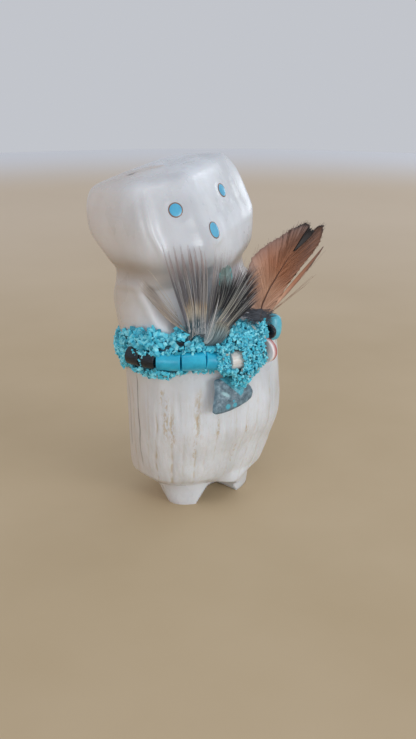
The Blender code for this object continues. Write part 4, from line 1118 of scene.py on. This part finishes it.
def build_speckled_feather():
    draw = random.Random(17)
    barbs = Shapes()
    fan, wisps, fluff, stem = CORNERS
    grey, black, pink = linear(134, 132, 139), linear(40, 40, 45), linear(184, 166, 164)
    cream, teal, pale = linear(196, 188, 170), linear(66, 92, 100), linear(206, 204, 202)
    tan, down = linear(196, 178, 158), linear(186, 194, 192)

    def barb(corners, foot, end, reach, width, stops, lift=0, gather=1):
        """A barb whose place between the lines goes from foot to end, and that stops at a share of their length."""
        t = np.linspace(-0.05, reach, 14)
        inside = np.clip(t, 0, 1)
        points = ruled(corners, foot + (end - foot) * inside ** gather, t)
        points = points + FAN_FACING * (lift * np.sin(math.pi * inside))[:, None]
        ends = np.clip((reach - t) / 0.3, 0.12, 1)
        barbs.strand(points, width * ends, FAN_FACING, blend(stops, t) * draw.uniform(0.8, 1.25))

    # left half: tufts with a cream bar low down, dark in the middle, thin pinkish ends
    for number in range(LEFT_BARBS):
        foot = 2 * (number + draw.uniform(0.2, 0.8)) / LEFT_BARBS
        centre = min(TUFTS, key=lambda tuft: abs(tuft - foot))
        end = centre + 0.22 * (foot - centre) + draw.gauss(0, 0.015)
        light = number % 3 == 0
        bar = 0.31 + draw.gauss(0, 0.03)
        low = pale if light else teal
        high = linear(212, 202, 184) if foot > 0.3 and draw.random() < 0.85 else grey
        top = linear(204, 176, 142) if high != grey else grey
        body = linear(182, 178, 176) if light else grey
        stops = [(0, low), (0.14, low), (0.19, high), (bar - 0.04, high), (bar, top), (bar + 0.03, body),
                 (0.66, body), (0.84, pink), (1, pink)]
        reach = draw.uniform(0.76, 0.92) if draw.random() < 0.55 else draw.uniform(0.92, 1.05)
        barb(fan, foot, min(max(end, 0), 2), reach, draw.uniform(0.07, 0.12), stops, draw.uniform(-0.4, 0.3),
             gather=2.4)

    # right half: near black with pale lines, and thin ends over the face
    for number in range(RIGHT_BARBS):
        foot = 3 + 3 * (number + draw.uniform(0.2, 0.8)) / RIGHT_BARBS
        end = foot + draw.gauss(0, 0.06)
        last = 0.74 + 0.26 * float(smooth(4, 5.6, foot)) + draw.gauss(-0.04, 0.09)
        long = draw.random() < (0.16 if 3.45 < foot < 4.5 else 0.32)
        reach = draw.uniform(0.88, 1.03) if long and foot < 5.3 else last
        low = teal if draw.random() < 0.6 else grey
        dark = black if foot > 3.5 else blend([(0, grey), (1, black)], (foot - 3) / 0.5)
        stops = [(0, low), (0.1, low), (0.2, dark), (last - 0.05, dark), (last + 0.06, pink), (1.1, pink)]
        if number % 3 == 0:
            stops = [(0, cream), (0.5, linear(170, 170, 164)), (1, pink)]
        barb(fan, foot, min(max(end, 3), 5.99), reach, draw.uniform(0.06, 0.1), stops,
             draw.uniform(-0.5, 0.35))

    # sheer tan barbs towards the arm, and down at the foot
    for number in range(26):
        foot = draw.uniform(0, 2)
        barb(wisps, foot, foot + draw.gauss(0, 0.15), draw.uniform(0.55, 1.03), 0.06,
             [(0, linear(150, 140, 132)), (0.3, tan), (1, (pink, linear(232, 224, 208))[number % 2])])
    for _ in range(150):
        foot = draw.uniform(0, 3)
        barb(fluff, foot, foot + draw.gauss(0, 0.2), draw.uniform(0.7, 1.05), draw.uniform(0.09, 0.15),
             [(0, teal), (0.5, linear(148, 170, 174)), (0.8, linear(186, 186, 174)), (1, tan)],
             draw.uniform(-0.4, 0.2))

    # the shaft, pale, with soft fibres about it
    for number in range(SHAFT_FIBRES):
        foot = (number + draw.random()) / SHAFT_FIBRES
        barb(stem, foot, foot + draw.gauss(0, 0.15), draw.uniform(0.4, 0.85), 0.055,
             [(0, linear(172, 194, 200)), (0.3, linear(216, 224, 224)), (1, down)], draw.uniform(-0.1, 0.2))
    barb(stem, 0.35, 0.5, 1.03, 0.22, [(0, linear(170, 190, 194)), (0.3, pale), (1, pale)], 0.2)
    material = barb_material("speckled_barb_finish")
    barbs.build("speckled_feather_barbs", material, "speckled_feather", "speckled_vane")


TEAL_AXIS = [(250, 40, 2), (243.5, 46, 2.6), (225.8, 50.5, 2.8)]
TEAL_HALF = 1.9


def build_teal_feather():
    """A small rounded feather behind the speckled one, its barbs close together."""
    draw = random.Random(23)
    barbs = Shapes()
    t = np.linspace(0, 1, 9)
    foot, tip = on_figure(*TEAL_AXIS[0]), on_figure(*TEAL_AXIS[2])
    normal = outward(*TEAL_AXIS[1][:2])
    run = tip - foot
    across = unit(np.cross(run, normal))
    deep, bright = linear(142, 166, 166), linear(80, 206, 214)
    bulge = on_figure(*TEAL_AXIS[1]) - (foot + tip) / 2
    for i in range(TEAL_BARBS):
        share = (i + draw.random()) / TEAL_BARBS * 0.95
        side = 1 if i % 2 else -1
        end = min(share + 0.16, 1)
        rounded = math.sqrt(max(1 - (max(end - 0.66, 0) / 0.36) ** 2, 0))
        half = TEAL_HALF * (0.35 + 0.65 * smooth(0, 0.6, end)) * rounded
        place = share + (end - share) * t
        points = foot + run * place[:, None] + side * half * np.sin(t * math.pi / 2)[:, None] * across
        points += bulge * (4 * place * (1 - place))[:, None] + normal * draw.uniform(-0.06, 0.06)
        spot = any(abs(end - at) < 0.05 for at in (0.3, 0.46, 0.66, 0.84))
        eye = bright if spot and draw.random() < 0.8 else deep
        tone = blend([(0, deep), (0.6, deep), (0.8, eye), (1, deep)], t)
        barbs.strand(points, np.interp(t, [0, 0.8, 1], [0.15, 0.15, 0.05]), normal, tone * draw.uniform(0.8, 1.2))
    points = foot + run * t[:, None] + bulge * (4 * t * (1 - t))[:, None] + normal * 0.08
    tone = blend([(0, linear(150, 150, 140)), (1, deep)], t)
    barbs.strand(points, np.interp(t, [0, 1], [0.22, 0.06]), normal, tone)
    barbs.build("teal_feather_barbs", barb_material("teal_barb_finish", 0.4), "teal_feather", "teal_vane")


# The brown feather in its own plane: along and across in millimetres
BROWN_BASE = (282, 37.4, 3.6)
BROWN_FACING, BROWN_ROLL = (-0.12, -0.94, 0.3), -48.8
BROWN_SHAFT = [(-0.3, 0), (2.7, -1.45), (6, -1.95), (10.6, -2.15), (13.5, -2.1), (16.2, -2)]
BROWN_LEFT = [
    (-0.3, -3.2), (2.2, -5.4), (4.9, -7.6), (8.6, -8.6), (12.5, -7.6), (16.1, -6), (18.7, -5), (20.7, -4),
    (22.2, -2.9), (22.6, -2.1), (22, -1.5)]
BROWN_RIGHT = [
    (3, 0.9), (8.6, 0.9), (14, 1.35), (18.1, 1.75), (21.5, 2), (23.2, 1.5), (25, 0.7), (24, 0), (22.4, -0.7)]
STRAND_INNER = [(3.2, 0.6), (8.6, 1.2), (14, 2), (18.9, 2.8), (21.6, 3.2)]
STRAND_OUTER = [(3, 0.9), (8.6, 2), (12, 2.5), (17.1, 3.2), (21.6, 3.3)]
# Single barbs that stray from the vane, from one place to another
BROWN_STRAYS = [
    ((3, 1), (15.9, 5.1)), ((2.5, 1), (15.2, 4.6)), ((4, 1.2), (13.8, 4.8)), ((5, 1.3), (21.4, 4.1)),
    ((2.2, 0.8), (12.5, 4.4)), ((2, -4.4), (6.5, -7.2)), ((3.5, -5), (8, -8)), ((4, -5.5), (9.4, -8.9)),
    ((5, -6), (10.6, -9.2)), ((5.5, -6), (11.6, -9))]
# Colours along the vane
BROWN_TONES = [
    (0, (196, 156, 134)), (6, (216, 166, 134)), (11, (180, 116, 78)), (16, (150, 96, 64)), (21, (118, 80, 60)),
    (25, (92, 64, 50))]


def build_brown_feather():
    draw = random.Random(29)
    barbs = Shapes()
    across, along, out = plane_of(BROWN_FACING, BROWN_ROLL)
    base = on_figure(*BROWN_BASE)
    t = np.linspace(0, 1, 13)
    rust, tan, mauve = linear(150, 100, 76), linear(182, 146, 122), linear(146, 124, 120)
    dark, grey = linear(38, 31, 28), linear(82, 86, 94)
    tones = [(at, linear(*colour)) for at, colour in BROWN_TONES]

    def plane(points, lift):
        points = np.asarray(points)
        return base + points[..., :1] * along + points[..., 1:2] * across + np.asarray(lift)[..., None] * out

    def curve(start, knee, end):
        return ((1 - t) ** 2)[:, None] * start + (2 * t * (1 - t))[:, None] * knee + (t ** 2)[:, None] * end

    def barb(start, end, bend, width, tone, lift=0):
        """A barb that leaves the shaft and bends towards the feather's tip."""
        p = curve(start, start + (end - start) * 0.35 + np.array([-bend, 0]), end)
        barbs.strand(plane(p, lift + 0.12 * np.sin(math.pi * t)), width, out, tone)

    def vane(inner, outer, count, edge_tone, tip_from, cup, spread=(0.16, 0.07)):
        """A closed web between two lines, ribbed along its barbs, with a frayed edge."""
        rows, tints = [], []
        for i in range(count):
            share = i / (count - 1)
            start = along_line(inner, share)
            end = along_line(outer, share) + np.array([draw.gauss(0, spread[0]), draw.gauss(0, spread[1])])
            p = curve(start, start + (end - start) * 0.45 + np.array([1.2, 0]) * (1 - share), end)
            lift = cup * np.sin(0.5 * math.pi * t) + (0.02 if i % 2 else -0.01) + 0.01 * draw.gauss(0, 1)
            rows.append(plane(p, lift))
            tint = blend(tones, p[:, 0])
            for tone, amount in ((edge_tone, 0.6 * t ** 3),
                                 (dark, smooth(tip_from, 1, t) * smooth(0.55, 0.75, share)),
                                 (grey, 0.7 * (1 - smooth(-1, 0.8, p[:, 0])))):
                tint = tint + (np.array(tone) - tint) * amount[:, None]
            tints.append(tint * (draw.uniform(0.94, 1) if i % 2 else draw.uniform(1, 1.06)))
        barbs.slab(np.array(rows), out, 0.14, np.array(tints))

    vane(BROWN_SHAFT, BROWN_LEFT, 150, mauve, 0.95, 0.15, (0.1, 0.12))
    vane(BROWN_SHAFT, BROWN_RIGHT, 150, linear(140, 96, 74), 0.93, 0.1)
    vane(STRAND_INNER, STRAND_OUTER, 30, linear(130, 88, 72), 0.5, 0.05, (0.1, 0.03))

    # fine barbs over the web and beyond its edges
    for edge, count in ((BROWN_LEFT, 170), (BROWN_RIGHT, 80)):
        for i in range(count):
            share = (i + draw.random()) / count
            start, end = along_line(BROWN_SHAFT, share), along_line(edge, share)
            end = end + np.array([draw.uniform(0, 0.9), draw.gauss(0, 0.25)])
            tone = blend(tones, start[0] + (end[0] - start[0]) * t)
            tone += (np.array(mauve if share < 0.8 else dark) - tone) * (0.6 * t ** 3)[:, None]
            barb(start, end, -1.2 * (1 - share), np.interp(t, [0, 0.8, 1], [0.07, 0.06, 0.03]),
                 tone * draw.uniform(0.92, 1.08), 0.04)
    for start, end in BROWN_STRAYS:
        barb(np.array(start), np.array(end), 0, np.interp(t, [0, 1], [0.09, 0.03]),
             blend([(0, tan), (1, rust)], t))

    # dark down at the foot
    for _ in range(260):
        left = draw.random() < 0.65
        start = along_line(BROWN_SHAFT, draw.uniform(0, 0.16))
        end = np.array([draw.uniform(-2, 0.5), draw.uniform(-4.4, -1)] if left
                       else [draw.uniform(0.8, 3.8), draw.uniform(0.4, 2.4)])
        barb(start, end, 0.3, np.interp(t, [0, 1], [0.16, 0.05]), blend([(0, grey), (1, linear(74, 78, 88))], t),
             draw.uniform(0, 0.3))

    # the black wedge where the tip is split
    for _ in range(90):
        share = draw.random()
        start = np.array([15.9 + 0.8 * draw.random(), -2 + 0.15 * share])
        end = np.array([21.4 + 1.1 * draw.random(), -1.95 + 1.5 * share])
        barb(start, end, 0, np.interp(t, [0, 0.6, 1], [0.08, 0.28, 0.06]), blend([(0, dark), (1, dark)], t),
             draw.uniform(0.1, 0.3))

    share = np.linspace(0, 0.9, 20)
    tone = blend([(0, linear(92, 64, 52)), (0.6, linear(84, 52, 40)), (1, linear(120, 80, 60))], share)
    widths = np.interp(share, [0, 0.9], [0.26, 0.08])
    barbs.strand(plane(along_line(BROWN_SHAFT, share), 0.22), widths, out, tone, 0.5)
    barbs.build("brown_feather_barbs", barb_material("brown_barb_finish", 0.5), "brown_feather", "brown_vane")


def build_sinew():
    """Twisted dark fibres along the CAD cord."""
    cord = Shapes()
    angle = np.linspace(206, 238, SINEW_STEPS)
    line = at_height(angle, SINEW_HEIGHT, 2.5)
    out = outward(angle, SINEW_HEIGHT)
    tones = blend([(0, linear(38, 42, 50)), (1, linear(30, 34, 42))], np.linspace(0, 1, SINEW_STEPS))
    for ply in range(3):
        turn = np.linspace(0, 30, SINEW_STEPS) + ply * 2 * math.pi / 3
        points = line + 0.13 * (np.cos(turn)[:, None] * out + np.sin(turn)[:, None] * (0, 0, 1))
        cord.strand(points, np.full(SINEW_STEPS, 0.26), out, tones, 0.6)
    cord.build("twisted_sinew", barb_material("sinew_finish", 0.6), "sinew_cord", "sinew")


build_stage()
build_figure()
build_inlays()
build_beads()
build_nugget()
build_chips()
build_arrowhead()
build_speckled_feather()
build_teal_feather()
build_brown_feather()
build_sinew()
